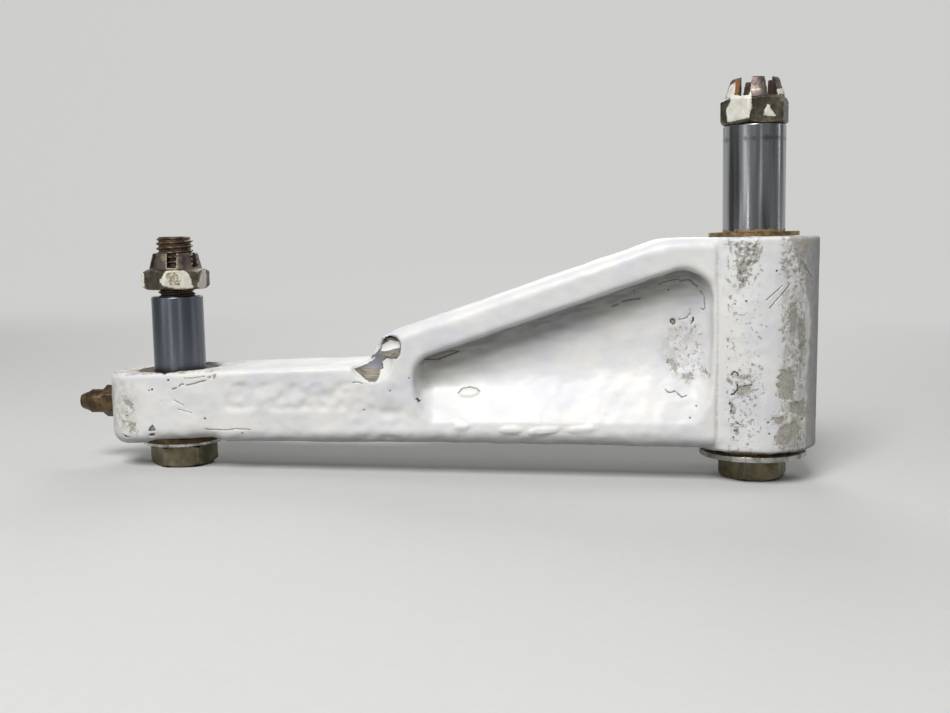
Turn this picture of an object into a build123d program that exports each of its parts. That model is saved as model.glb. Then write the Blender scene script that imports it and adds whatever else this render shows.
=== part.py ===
from build123d import *
import math
import os

# Torque link of a light aircraft's nose gear: a painted casting with a loose pin at each end.
# Millimetres, +Z up. The hinge pin's axis is the Z axis and the arm runs towards -X to the knee pin.
# Z = 0 is the outer face of the hinge bolt's head, on which the link stands.

# Pins: both bolts are 5/16 inch, and the sleeves are 1/2 inch and 7/16 inch
PIN_SPACING = 124.7
BOLT_R = 3.97
HEX_ACROSS_FLATS = 12.7
HEAD_HEIGHT = 4.76
HINGE_SLEEVE_R = 6.35
KNEE_SLEEVE_R = 5.56
RUNNING_CLEARANCE = 0.04
BOLT_CLEARANCE = 0.05
WASHER_CLEARANCE = 0.15
THREAD_CHAMFER = 0.7
SLEEVE_CHAMFER = 0.3
FLANGE_CHAMFER = 0.15
BUSHING_CHAMFER = 0.2
WASHER_CHAMFER = 0.12
HEX_BEVEL_ANGLE = 30.0
HEX_BEVEL_FOOT = 0.97

# Heights up the hinge pin
HINGE_WASHER_THICKNESS = 1.2
FLANGE_THICKNESS = 1.0
BARREL_BOTTOM = HEAD_HEIGHT + HINGE_WASHER_THICKNESS + FLANGE_THICKNESS
BARREL_TOP = 50.5
HINGE_SLEEVE_TOP = 73.2
HINGE_NUT_HEIGHT = 9.4
HINGE_NUT_HEX = 5.3
HINGE_BOLT_END = 78.0
HINGE_HOLE_DROP = 2.2

# Heights up the knee pin
KNEE_BLOCK_BOTTOM = 9.3
KNEE_BLOCK_TOP = 24.0
KNEE_WASHER_THICKNESS = 0.8
KNEE_RING_SINK = 0.3
KNEE_SLEEVE_TOP = 39.9
KNEE_NUT_GAP = 1.5
KNEE_NUT_HEIGHT = 8.0
KNEE_NUT_HEX = 4.4
KNEE_BOLT_END = 52.9

# Bushings and washers
HINGE_BUSHING_R = 7.94
HINGE_BUSHING_LENGTH = 16.0
HINGE_FLANGE_R = 9.2
HINGE_WASHER_R = 11.1
KNEE_BUSHING_R = 7.14
KNEE_BUSHING_LENGTH = 5.0
KNEE_FLANGE_R = 9.0
KNEE_WASHER_R = 8.7
SPOTFACE_MARGIN = 0.25

# Casting
BARREL_TOP_R = 13.3
BARREL_FOOT_R = 12.9
KNEE_END = PIN_SPACING + 14.4
KNEE_HALF_WIDTH = 9.9
HINGE_HALF_WIDTH = 10.9
KNEE_CORNER_R = 7.6
RAIL_SLOPE = 0.330
RAIL_START = (-77.3, 31.3)
STEP_FOOT = (-81.0, 25.2)
STEP_FOOT_R = 4.0
BEND_R = 15.0
ARM_INTO_BARREL = 2.0
KNEE_END_TOP = 23.7
FOOT_LINE = (
    ((ARM_INTO_BARREL, BARREL_BOTTOM + 0.45), 0.0),
    ((-14.0, BARREL_BOTTOM + 0.6), 20.0),
    ((-62.0, 8.5), 100.0),
    ((-112.2, 8.7), 4.0),
    ((-115.4, 9.7), 2.0),
    ((-KNEE_END, 7.7), 0.0),
)
RAIL_EDGE_R = 2.5
FOOT_EDGE_R = 3.0
MACHINED_EDGE_R = 1.1
BARREL_EDGE_R = 0.7
BARREL_FILLET = 2.4

# Pocket on each side of the arm: its ends, the rail left above it, its web and its rounded walls
POCKET_LEFT = -70.6
POCKET_RIGHT = -9.4
RAIL_HEIGHT = 7.4
POCKET_FLOOR_Y = 5.2
POCKET_LEFT_R = 5.0
POCKET_RIGHT_R = 6.0
POCKET_COVE_R = 4.2
POCKET_RIM_R = 1.4
OVERCUT = 3.0

# The ramp below the web widens towards the barrel: x, height of its foot, of its top, and the blend's radius
RAMP_LEFT = (-74.0, 13.3, 19.5, 4.0)
RAMP_RIGHT = (-6.0, 12.6, 27.0, 22.0)

# Bare scoops at the front of the step, left by a round cutter
SCOOP_R = 2.45
SCOOP_FROM = (-80.0, -10.2, 27.7)
SCOOP_TO = (-75.6, -10.2, 29.3)
FOOT_SCOOP_R = 5.5
FOOT_SCOOP_AT = (-79.7, -13.0, 26.4)

# Grease fitting in the knee block's end
FITTING_Z = 16.6
FITTING_HEX = 6.35
FITTING_HEX_TOP = 3.2
FITTING_BODY_TOP = 6.4
FITTING_TIP = 8.7
FITTING_BODY_R = 2.65
FITTING_CONE_R = 2.5
FITTING_TIP_R = 1.6
FITTING_THREAD_R = 3.1
FITTING_THREAD_LENGTH = 5.0
FITTING_BALL_GAP = 0.02
FITTING_PASSAGE_R = 0.45
FITTING_CHAMBER_R = 1.0
FITTING_CHAMBER_FLOOR = 2.4
FITTING_MOUTH_R = 0.62
FITTING_LIP = 0.3
GREASE_DRILL_R = 1.0
BALL_R = 0.8
SPRING_WIRE_R = 0.13
SPRING_R = 0.6
SPRING_TURNS = 3
SPRING_TO_BALL = 0.72
SPRING_WIRE_SIDES = 6

# Turn of each hexagon about its pin, from a flat facing -Y towards +X
HINGE_HEAD_TURN = 9.0
HINGE_NUT_TURN = 12.0
HINGE_SLOT_TURN = 30.0
KNEE_HEAD_TURN = 15.0
KNEE_NUT_TURN = 30.0
KNEE_SLOT_TURN = 12.0

# Castle nuts: slots at the top, and the split pin's hole through the bolt
SLOT_COUNT = 6
HINGE_SLOT_WIDTH = 2.4
HINGE_SLOT_DEPTH = 3.9
HINGE_CROWN_FOOT_R = 6.1
HINGE_CROWN_TOP_R = 4.9
KNEE_SLOT_WIDTH = 2.0
KNEE_SLOT_DEPTH = 3.2
KNEE_CROWN_FOOT_R = 5.7
KNEE_CROWN_TOP_R = 4.8
CROWN_EDGE_R = 0.5
SPLIT_PIN_R = 1.0
SPLIT_PIN_FROM_SLOT = 60.0

KNEE = Pos(-PIN_SPACING, 0, 0)
KNEE_FLANGE_BOTTOM = KNEE_BLOCK_BOTTOM - FLANGE_THICKNESS
KNEE_HEAD_TOP = KNEE_FLANGE_BOTTOM - KNEE_WASHER_THICKNESS
KNEE_HEAD_BOTTOM = KNEE_HEAD_TOP - HEAD_HEIGHT
KNEE_RING_TOP = KNEE_BLOCK_TOP - KNEE_RING_SINK
KNEE_RING_BOTTOM = KNEE_RING_TOP - FLANGE_THICKNESS
HINGE_FLANGE_BOTTOM = BARREL_BOTTOM - FLANGE_THICKNESS
HINGE_NUT_BOTTOM = HINGE_SLEEVE_TOP
KNEE_NUT_BOTTOM = KNEE_SLEEVE_TOP + KNEE_NUT_GAP


def rod(radius, bottom, top):
    """A plain round bar on the Z axis between two heights."""
    return Pos(0, 0, bottom) * Cylinder(radius, top - bottom, align=(Align.CENTER, Align.CENTER, Align.MIN))


def tube(outer, inner, bottom, top):
    """A plain tube on the Z axis between two heights."""
    return rod(outer, bottom, top) - rod(inner, bottom - 1, top + 1)


def rail_z(x):
    """Height of the arm's sloping top edge at x."""
    return RAIL_START[1] + RAIL_SLOPE * (x - RAIL_START[0])


def bend_x():
    """Where the sloping top edge reaches the barrel's height."""
    return RAIL_START[0] + (BARREL_TOP - RAIL_START[1]) / RAIL_SLOPE


def side_outline():
    """The arm seen from the front: knee block, step, sloping rail and gently sloping foot."""
    corners = [
        ((-KNEE_END, KNEE_END_TOP), 0.0),
        (STEP_FOOT, STEP_FOOT_R),
        (RAIL_START, 0.0),
        ((bend_x(), BARREL_TOP), BEND_R),
        ((ARM_INTO_BARREL, BARREL_TOP), 0.0),
        *FOOT_LINE,
    ]
    points = [(x, z) for (x, z), _ in corners]
    return make_face(FilletPolyline(*points, radius=[r for _, r in corners], close=True))


def plan_outline():
    """The arm seen from above: two long sides that open towards the barrel, and a rounded knee end."""
    points = [
        (-KNEE_END, -KNEE_HALF_WIDTH),
        (ARM_INTO_BARREL, -HINGE_HALF_WIDTH),
        (ARM_INTO_BARREL, HINGE_HALF_WIDTH),
        (-KNEE_END, KNEE_HALF_WIDTH),
    ]
    radii = [KNEE_CORNER_R, 0.0, 0.0, KNEE_CORNER_R]
    return make_face(FilletPolyline(*points, radius=radii, close=True))


def is_upright(edge):
    """True for a straight edge along Z."""
    return edge.geom_type == GeomType.LINE and abs((edge @ 1).Z - (edge @ 0).Z) > 0.95 * edge.length


def is_across(edge):
    """True for a straight edge along Y."""
    return edge.geom_type == GeomType.LINE and abs((edge @ 1).Y - (edge @ 0).Y) > 0.95 * edge.length


def outer_edges(solid, test):
    """Edges round the arm's outside, not upright and not inside the barrel, whose middle passes the test."""
    found = []
    for edge in solid.edges():
        middle = edge.center()
        on_side = abs(middle.Y) > KNEE_HALF_WIDTH - 4
        at_knee = middle.X < KNEE_CORNER_R - KNEE_END
        outside = on_side or at_knee or middle.Z > RAIL_START[1] - 0.5
        if middle.X < ARM_INTO_BARREL - 0.1 and outside and not is_upright(edge) and test(middle):
            found.append(edge)
    return found


def arm_blank():
    """Side view and plan view extruded through each other, with the long edges rounded."""
    side = extrude(Plane.XZ * side_outline(), amount=HINGE_HALF_WIDTH + 2, both=True)
    plan = extrude(plan_outline(), amount=BARREL_TOP + 5)
    arm = side & plan
    step_x = RAIL_START[0] + 1
    side_y = KNEE_HALF_WIDTH - 1
    foot_z = BARREL_BOTTOM + 5
    rail_edges = outer_edges(arm, lambda m: m.X > step_x and m.Z > STEP_FOOT[1] and abs(m.Y) > side_y)
    arm = fillet(rail_edges, RAIL_EDGE_R)
    arm = fillet(outer_edges(arm, lambda m: m.Z < foot_z), FOOT_EDGE_R)
    return fillet(outer_edges(arm, lambda m: m.X < step_x and m.Z > foot_z), MACHINED_EDGE_R)


def barrel_blank():
    """The barrel, a cone of slight draft with rounded ends."""
    barrel = Pos(0, 0, BARREL_BOTTOM) * Cone(
        BARREL_FOOT_R, BARREL_TOP_R, BARREL_TOP - BARREL_BOTTOM, align=(Align.CENTER, Align.CENTER, Align.MIN)
    )
    return fillet(barrel.edges().filter_by(GeomType.CIRCLE), BARREL_EDGE_R)


def half_width(x):
    """Half the arm's width at x."""
    share = (x + KNEE_END) / (KNEE_END + ARM_INTO_BARREL)
    return KNEE_HALF_WIDTH + (HINGE_HALF_WIDTH - KNEE_HALF_WIDTH) * share


def ramp_section(x, foot, top, blend_r):
    """Room in front of the ramp and the web at x, closed well above the rail and outside the arm."""
    side = half_width(x)
    slope = (top - foot) / (side - POCKET_FLOOR_Y)
    outside = -side - OVERCUT
    points = [
        (outside, foot - slope * OVERCUT),
        (-POCKET_FLOOR_Y, top),
        (-POCKET_FLOOR_Y, BARREL_TOP),
        (outside, BARREL_TOP),
    ]
    section = make_face(FilletPolyline(*points, radius=[0.0, blend_r, 0.0, 0.0], close=True))
    return Plane(origin=(x, 0, 0), x_dir=(0, 1, 0), z_dir=(1, 0, 0)) * section


def pocket_cutter():
    """What the front pocket takes away: a web and a widening ramp, coved into the walls round them."""
    below = min(RAMP_LEFT[1], RAMP_RIGHT[1]) - OVERCUT
    corners = [
        ((POCKET_LEFT, below), 0.0),
        ((POCKET_LEFT, rail_z(POCKET_LEFT) - RAIL_HEIGHT), POCKET_LEFT_R),
        ((POCKET_RIGHT, rail_z(POCKET_RIGHT) - RAIL_HEIGHT), POCKET_RIGHT_R),
        ((POCKET_RIGHT, below), 0.0),
    ]
    outline = make_face(FilletPolyline(*[p for p, _ in corners], radius=[r for _, r in corners], close=True))
    web = Plane(origin=(0, -POCKET_FLOOR_Y, 0), x_dir=(1, 0, 0), z_dir=(0, -1, 0))
    walls = extrude(web * outline, amount=HINGE_HALF_WIDTH - POCKET_FLOOR_Y + 2)
    cutter = walls & loft([ramp_section(*RAMP_LEFT), ramp_section(*RAMP_RIGHT)])
    coves = []
    for edge in cutter.edges():
        middle = edge @ 0.5
        at_end = min(abs(middle.X - POCKET_LEFT), abs(middle.X - POCKET_RIGHT)) < 0.2
        at_rail = abs(middle.Y + POCKET_FLOOR_Y) < 0.05 and middle.Z > RAMP_RIGHT[2]
        at_back = middle.Y > -HINGE_HALF_WIDTH - 1 and not is_across(edge)
        if at_back and (at_end or at_rail):
            coves.append(edge)
    return fillet(coves, POCKET_COVE_R)


def round_cutter(start, end, radius):
    """A round-nosed cutter's cut from one point to another."""
    path = Vector(*end) - Vector(*start)
    shaft = Plane(origin=start, z_dir=path) * Cylinder(
        radius, path.length, align=(Align.CENTER, Align.CENTER, Align.MIN)
    )
    return shaft + Pos(*start) * Sphere(radius) + Pos(*end) * Sphere(radius)


def link_casting():
    """The white casting: arm, barrel, a pocket on each side, bores, spotfaces and the grease drilling."""
    casting = arm_blank() + barrel_blank()
    joint = []
    for edge in casting.edges():
        middle = edge.center()
        reach = math.hypot(middle.X, middle.Y)
        if middle.X < -3 and BARREL_FOOT_R - 0.4 < reach < BARREL_TOP_R + 0.4:
            joint.append(edge)
    casting = fillet(joint, BARREL_FILLET)
    pocket = pocket_cutter()
    casting = casting - pocket - mirror(pocket, Plane.XZ)
    rims = []
    for edge in casting.edges():
        middle = edge.center()
        at_pocket = POCKET_LEFT - 1 < middle.X < POCKET_RIGHT + 1
        inside_outline = RAMP_RIGHT[1] - 1 < middle.Z < BARREL_TOP - 3
        if at_pocket and inside_outline and abs(abs(middle.Y) - half_width(middle.X)) < 0.08:
            rims.append(edge)
    casting = fillet(rims, POCKET_RIM_R)
    casting = casting - round_cutter(SCOOP_FROM, SCOOP_TO, SCOOP_R)
    casting = casting - Pos(*FOOT_SCOOP_AT) * Sphere(FOOT_SCOOP_R)
    casting = casting - rod(HINGE_BUSHING_R, 0, BARREL_TOP + 5)
    casting = casting - KNEE * rod(KNEE_BUSHING_R, 0, KNEE_BLOCK_TOP + 5)
    casting = casting - KNEE * rod(KNEE_FLANGE_R + SPOTFACE_MARGIN, KNEE_RING_BOTTOM, KNEE_BLOCK_TOP + 5)
    casting = casting - KNEE * rod(KNEE_FLANGE_R + SPOTFACE_MARGIN, 0, KNEE_BLOCK_BOTTOM)
    into_block = Pos(-KNEE_END, 0, FITTING_Z) * Rot(0, 90, 0)
    casting = casting - into_block * rod(FITTING_THREAD_R, -1, FITTING_THREAD_LENGTH)
    casting = casting - into_block * rod(GREASE_DRILL_R, -1, KNEE_END - PIN_SPACING)
    return casting


def flanged_bushing(outer, flange, bore, length):
    """A bronze bushing with its flange below Z = 0 and its tube above."""
    ring = tube(flange, bore, -FLANGE_THICKNESS, 0)
    rim = ring.edges().filter_by(GeomType.CIRCLE).filter_by(lambda e: e.radius > outer)
    bushing = chamfer(rim, FLANGE_CHAMFER) + tube(outer, bore, 0, length)
    rims = bushing.edges().filter_by(GeomType.CIRCLE).filter_by(lambda e: e.center().Z > length - 0.1)
    return chamfer(rims, BUSHING_CHAMFER)


def sleeve(outer, bottom, top):
    """A hardened sleeve over the bolt, with chamfered ends."""
    body = tube(outer, BOLT_R + BOLT_CLEARANCE, bottom, top)
    return chamfer(body.edges().filter_by(GeomType.CIRCLE), SLEEVE_CHAMFER)


def washer(outer, bottom, top):
    """A flat washer under the bolt's head."""
    body = tube(outer, BOLT_R + WASHER_CLEARANCE, bottom, top)
    rims = body.edges().filter_by(GeomType.CIRCLE).filter_by(lambda e: e.radius > outer - 0.1)
    return chamfer(rims, WASHER_CHAMFER)


def hexagon(across_flats, turn, bottom, top):
    """A hexagonal bar whose corners are bevelled at both ends."""
    corner_r = across_flats / math.sqrt(3)
    prism = Pos(0, 0, bottom) * Rot(0, 0, turn) * extrude(RegularPolygon(corner_r, 6), amount=top - bottom)
    bevel = corner_r - across_flats / 2 * HEX_BEVEL_FOOT
    drop = bevel * math.tan(math.radians(HEX_BEVEL_ANGLE))
    return prism & chamfer(rod(corner_r, bottom, top).edges(), drop, bevel)


def bolt(turn, head_bottom, end, hole_turn, hole_z):
    """A bolt head down: bevelled head, plain shank and a split pin's hole near the end."""
    shank = rod(BOLT_R, head_bottom + HEAD_HEIGHT, end)
    shank = chamfer(shank.faces().sort_by(Axis.Z)[-1].edges(), THREAD_CHAMFER)
    head = hexagon(HEX_ACROSS_FLATS, turn, head_bottom, head_bottom + HEAD_HEIGHT)
    hole = Pos(0, 0, hole_z) * Rot(0, 0, hole_turn) * Rot(90, 0, 0) * Cylinder(SPLIT_PIN_R, 4 * BOLT_R)
    return head + shank - hole


def castle_nut(turn, slot_turn, bottom, hex_height, height, foot_r, top_r, slot_width, slot_depth):
    """A castle nut: bevelled hexagon, tapered crown with a rounded top, six slots."""
    top = bottom + height
    crown_bottom = bottom + hex_height
    crown = Pos(0, 0, crown_bottom) * Cone(
        foot_r, top_r, height - hex_height, align=(Align.CENTER, Align.CENTER, Align.MIN)
    )
    crown = fillet(crown.faces().sort_by(Axis.Z)[-1].edges(), CROWN_EDGE_R)
    nut = hexagon(HEX_ACROSS_FLATS, turn, bottom, crown_bottom) + crown
    nut = nut - rod(BOLT_R + BOLT_CLEARANCE, bottom - 1, top + 1)
    slot = Box(slot_width, 4 * foot_r, slot_depth + 1, align=(Align.CENTER, Align.CENTER, Align.MIN))
    for index in range(SLOT_COUNT // 2):
        nut = nut - Pos(0, 0, top - slot_depth) * Rot(0, 0, slot_turn + index * 360 / SLOT_COUNT) * slot
    return nut


def outward(shape):
    """Lays a shape made up the Z axis along the grease fitting's axis, out of the knee block's end."""
    return Pos(-KNEE_END, 0, FITTING_Z) * Rot(0, -90, 0) * shape


def grease_fitting():
    """Screwed-in grease fitting: hexagon, round body, tapered nose, and the drilling with its ball seat."""
    body = rod(FITTING_THREAD_R, -FITTING_THREAD_LENGTH, 0)
    body = body + hexagon(FITTING_HEX, 0, 0, FITTING_HEX_TOP)
    body = body + rod(FITTING_BODY_R, FITTING_HEX_TOP, FITTING_BODY_TOP)
    nose = Cone(
        FITTING_CONE_R,
        FITTING_TIP_R,
        FITTING_TIP - FITTING_BODY_TOP,
        align=(Align.CENTER, Align.CENTER, Align.MIN),
    )
    body = body + Pos(0, 0, FITTING_BODY_TOP) * nose
    body = body - rod(FITTING_PASSAGE_R, -FITTING_THREAD_LENGTH - 1, FITTING_TIP + 1)
    body = body - rod(FITTING_MOUTH_R, FITTING_TIP - FITTING_LIP, FITTING_TIP + 1)
    body = body - rod(FITTING_CHAMBER_R, FITTING_CHAMBER_FLOOR, FITTING_TIP - FITTING_LIP)
    return outward(body)


BALL_H = FITTING_TIP - FITTING_LIP - math.sqrt(BALL_R**2 - FITTING_MOUTH_R**2) - FITTING_BALL_GAP


def grease_fitting_ball():
    """The ball that closes the fitting's mouth."""
    return outward(Pos(0, 0, BALL_H) * Sphere(BALL_R))


def grease_fitting_spring():
    """The small coil spring behind the ball, its wire's roundness kept to a few flats."""
    bottom = FITTING_CHAMBER_FLOOR + SPRING_WIRE_R + FITTING_BALL_GAP
    length = BALL_H - BALL_R * SPRING_TO_BALL - SPRING_WIRE_R - bottom
    coil = Helix(pitch=length / SPRING_TURNS, height=length, radius=SPRING_R)
    start = Plane(origin=coil @ 0, z_dir=coil % 0)
    wire = RegularPolygon(SPRING_WIRE_R, SPRING_WIRE_SIDES)
    return outward(Pos(0, 0, bottom) * sweep(start * wire, path=coil))


HINGE_BORE = HINGE_SLEEVE_R + RUNNING_CLEARANCE
KNEE_BORE = KNEE_SLEEVE_R + RUNNING_CLEARANCE
HINGE_BUSHING = flanged_bushing(HINGE_BUSHING_R, HINGE_FLANGE_R, HINGE_BORE, HINGE_BUSHING_LENGTH)
KNEE_BUSHING = flanged_bushing(KNEE_BUSHING_R, KNEE_FLANGE_R, KNEE_BORE, KNEE_BUSHING_LENGTH)
FLIP = Rot(180, 0, 0)
HINGE_HOLE_Z = HINGE_BOLT_END - HINGE_HOLE_DROP
KNEE_HOLE_Z = KNEE_NUT_BOTTOM + KNEE_NUT_HEIGHT - KNEE_SLOT_DEPTH / 2
HINGE_HOLE_TURN = HINGE_SLOT_TURN + SPLIT_PIN_FROM_SLOT
KNEE_HOLE_TURN = KNEE_SLOT_TURN + SPLIT_PIN_FROM_SLOT

pieces = {
    "link_casting": link_casting(),
    "hinge_bushing_lower": Pos(0, 0, BARREL_BOTTOM) * HINGE_BUSHING,
    "hinge_bushing_upper": Pos(0, 0, BARREL_TOP) * FLIP * HINGE_BUSHING,
    "knee_bushing_lower": KNEE * Pos(0, 0, KNEE_BLOCK_BOTTOM) * KNEE_BUSHING,
    "knee_bushing_upper": KNEE * Pos(0, 0, KNEE_RING_BOTTOM) * FLIP * KNEE_BUSHING,
    "hinge_washer": washer(HINGE_WASHER_R, HEAD_HEIGHT, HINGE_FLANGE_BOTTOM),
    "knee_washer": KNEE * washer(KNEE_WASHER_R, KNEE_HEAD_TOP, KNEE_FLANGE_BOTTOM),
    "hinge_sleeve": sleeve(HINGE_SLEEVE_R, HINGE_FLANGE_BOTTOM, HINGE_SLEEVE_TOP),
    "knee_sleeve": KNEE * sleeve(KNEE_SLEEVE_R, KNEE_FLANGE_BOTTOM, KNEE_SLEEVE_TOP),
    "hinge_bolt": bolt(HINGE_HEAD_TURN, 0, HINGE_BOLT_END, HINGE_HOLE_TURN, HINGE_HOLE_Z),
    "knee_bolt": KNEE * bolt(KNEE_HEAD_TURN, KNEE_HEAD_BOTTOM, KNEE_BOLT_END, KNEE_HOLE_TURN, KNEE_HOLE_Z),
    "hinge_nut": castle_nut(
        HINGE_NUT_TURN,
        HINGE_SLOT_TURN,
        HINGE_NUT_BOTTOM,
        HINGE_NUT_HEX,
        HINGE_NUT_HEIGHT,
        HINGE_CROWN_FOOT_R,
        HINGE_CROWN_TOP_R,
        HINGE_SLOT_WIDTH,
        HINGE_SLOT_DEPTH,
    ),
    "knee_nut": KNEE * castle_nut(
        KNEE_NUT_TURN,
        KNEE_SLOT_TURN,
        KNEE_NUT_BOTTOM,
        KNEE_NUT_HEX,
        KNEE_NUT_HEIGHT,
        KNEE_CROWN_FOOT_R,
        KNEE_CROWN_TOP_R,
        KNEE_SLOT_WIDTH,
        KNEE_SLOT_DEPTH,
    ),
    "grease_fitting": grease_fitting(),
    "grease_fitting_ball": grease_fitting_ball(),
    "grease_fitting_spring": grease_fitting_spring(),
}

os.makedirs("parts", exist_ok=True)
for name, shape in pieces.items():
    export_step(shape, f"parts/{name}.step")
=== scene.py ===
import logging
import math
from collections.abc import Callable, Iterator
from contextlib import contextmanager
from dataclasses import dataclass, field
from enum import Enum

import bmesh
import bpy
import numpy as np
from mathutils import Matrix, Vector


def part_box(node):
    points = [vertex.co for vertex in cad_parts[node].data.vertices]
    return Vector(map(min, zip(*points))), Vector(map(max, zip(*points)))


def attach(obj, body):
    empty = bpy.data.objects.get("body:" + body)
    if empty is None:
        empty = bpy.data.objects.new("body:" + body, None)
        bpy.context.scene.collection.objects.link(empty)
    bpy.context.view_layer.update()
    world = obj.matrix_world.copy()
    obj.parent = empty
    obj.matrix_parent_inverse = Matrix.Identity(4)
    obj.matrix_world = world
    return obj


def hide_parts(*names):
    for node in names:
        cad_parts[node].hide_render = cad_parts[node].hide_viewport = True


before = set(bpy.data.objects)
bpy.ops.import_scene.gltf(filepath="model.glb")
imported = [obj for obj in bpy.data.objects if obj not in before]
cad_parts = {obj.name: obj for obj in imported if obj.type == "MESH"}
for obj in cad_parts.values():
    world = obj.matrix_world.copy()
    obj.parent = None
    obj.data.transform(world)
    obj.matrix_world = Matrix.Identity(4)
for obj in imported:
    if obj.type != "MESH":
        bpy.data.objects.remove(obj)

# A torque link of a light aircraft's nose gear: a painted casting with a loose pin at each end.
# Sizes are in millimetres in the frame's axes and are turned to metres where a mesh is made.

MM = 0.001
FAR = 999.0  # given to points that a drawn mark can't reach
ARM_FACE = 10.4  # from the arm's middle plane to its outer face
BARREL_RADIUS = 13.1  # of the barrel's wall
log = logging.getLogger("torque_link")


class Pin(Enum):
    """The two pins of the link, by the name that their pieces start with."""

    HINGE = "hinge"
    KNEE = "knee"


def middle_of(node: str) -> tuple[float, float, float]:
    """The middle of a solid's box, in millimetres.

    Args:
        node: Name of the solid.

    Returns:
        Its middle along X, Y and Z.
    """
    low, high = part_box(node)
    middle = (low + high) / 2 / MM
    return middle.x, middle.y, middle.z


def span_of(node: str) -> tuple[float, float]:
    """The lowest and highest Z of a solid, in millimetres.

    Args:
        node: Name of the solid.

    Returns:
        Its bottom and top.
    """
    low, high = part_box(node)
    return low.z / MM, high.z / MM


HINGE_AXIS = Vector((0.0, 0.0, 0.0))
KNEE_AXIS = Vector((middle_of("knee_sleeve")[0], 0.0, 0.0))


def ripple(points: np.ndarray, size: float, seed: int) -> np.ndarray:
    """Smooth three-dimensional noise.

    Args:
        points: Positions in millimetres, one row each.
        size: Width of one lump in millimetres.
        seed: Picks the pattern.

    Returns:
        One value for each point, from about -1 to 1.
    """
    rng = np.random.default_rng(seed)
    table = rng.permutation(256)
    slopes = rng.normal(size=(256, 3))
    slopes /= np.linalg.norm(slopes, axis=1)[:, None]
    scaled = points / size
    cell = np.floor(scaled).astype(int)
    part = scaled - cell
    fade = part**3 * (part * (part * 6 - 15) + 10)
    total = np.zeros(len(points))
    for corner in np.ndindex(2, 2, 2):
        at = (cell + corner) & 255
        pick = table[(table[(table[at[:, 0]] + at[:, 1]) & 255] + at[:, 2]) & 255]
        dot = ((part - corner) * slopes[pick]).sum(axis=1)
        weight = np.where(corner, fade, 1 - fade).prod(axis=1)
        total += weight * dot
    return total * 1.6


def ramp(value: np.ndarray, low: float, high: float) -> np.ndarray:
    """A soft step.

    Args:
        value: The values to test.
        low: Where the step starts to leave 0.
        high: Where it reaches 1. It may be below low, for a falling step.

    Returns:
        Values from 0 to 1.
    """
    t = np.clip((value - low) / (high - low), 0, 1)
    return t * t * (3 - 2 * t)


def hump(value: np.ndarray, middle: float, reach: float) -> np.ndarray:
    """A bell-shaped rise of height 1.

    Args:
        value: The values to test.
        middle: Where the rise is highest.
        reach: Its half width at about a third of its height.

    Returns:
        Values from 0 to 1.
    """
    return np.exp(-(((value - middle) / reach) ** 2))


def merged(*distances: np.ndarray) -> np.ndarray:
    """The union of regions that are each given as a signed distance."""
    return np.minimum.reduce(distances)


@dataclass(frozen=True)
class Mark:
    """A mark on a surface laid flat: a closed outline, or an open line that is drawn with some width."""

    points: tuple[tuple[float, float], ...]
    width: float = 0.0

    def distance(self, across: np.ndarray, up: np.ndarray) -> np.ndarray:
        """Signed distance to the mark's edge.

        Args:
            across: Where each point lies along the surface, in millimetres.
            up: How high it lies.

        Returns:
            Distances in millimetres, negative inside, and 2 for all that is further off.
        """
        line = np.array(self.points, float)
        low, high = line.min(axis=0) - 2, line.max(axis=0) + 2
        near = (across > low[0]) & (across < high[0]) & (up > low[1]) & (up < high[1])
        spot = np.column_stack((across[near], up[near]))
        closed = self.width == 0
        starts, ends = (line, np.roll(line, -1, axis=0)) if closed else (line[:-1], line[1:])
        away = np.full(len(spot), 2.0)
        inside = np.zeros(len(spot), bool)
        for start, end in zip(starts, ends):
            along = end - start
            t = np.clip((spot - start) @ along / max(along @ along, 1e-9), 0, 1)
            away = np.minimum(away, np.linalg.norm(spot - start - t[:, None] * along, axis=1))
            if closed and along[1] != 0:
                level = (start[1] > spot[:, 1]) != (end[1] > spot[:, 1])
                inside ^= level & (spot[:, 0] < start[0] + along[0] * (spot[:, 1] - start[1]) / along[1])
        result = np.full(len(across), 2.0)
        result[near] = np.where(inside, -away, away) - self.width / 2
        return result


def nearest(marks: tuple[Mark, ...], across: np.ndarray, up: np.ndarray) -> np.ndarray:
    """Signed distance in millimetres to the nearest of several marks."""
    return merged(np.full(len(across), 2.0), *[mark.distance(across, up) for mark in marks])


def dots(spots: tuple[tuple[float, float], ...], width: float) -> tuple[Mark, ...]:
    """Round marks of one width, each a line of no length."""
    return tuple(Mark((spot, spot), width) for spot in spots)


@dataclass(frozen=True)
class Sight:
    """The camera that took the photograph, as fitted to it: where it stood and which way it looked."""

    place: tuple[float, float, float] = (-34.103, -235.032, 51.531)
    right: tuple[float, float, float] = (0.994522, 0.104528, 0.0)
    forward: tuple[float, float, float] = (-0.103917, 0.988704, -0.108008)
    up: tuple[float, float, float] = (-0.01129, 0.107417, 0.99415)
    roll: float = 1.141
    focal_pixels: float = 1100.0
    middle_pixel: tuple[float, float] = (475.0, 356.5)

    def rolled(self, right: "Vector | np.ndarray", up: "Vector | np.ndarray") -> tuple:
        """Turns two upright directions, given as any kind of vector, by the camera's roll."""
        turn = math.radians(self.roll)
        return right * math.cos(turn) - up * math.sin(turn), right * math.sin(turn) + up * math.cos(turn)

    def toward(self, pixel: tuple[float, float]) -> np.ndarray:
        """The way from the camera to what a pixel shows.

        Args:
            pixel: How far right and down it lies from the photograph's top left corner.

        Returns:
            A direction in the frame's axes.
        """
        across, upward = self.rolled(np.array(self.right), np.array(self.up))
        east = (pixel[0] - self.middle_pixel[0]) / self.focal_pixels
        north = (self.middle_pixel[1] - pixel[1]) / self.focal_pixels
        return np.array(self.forward) + across * east + upward * north


SIGHT = Sight()


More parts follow.
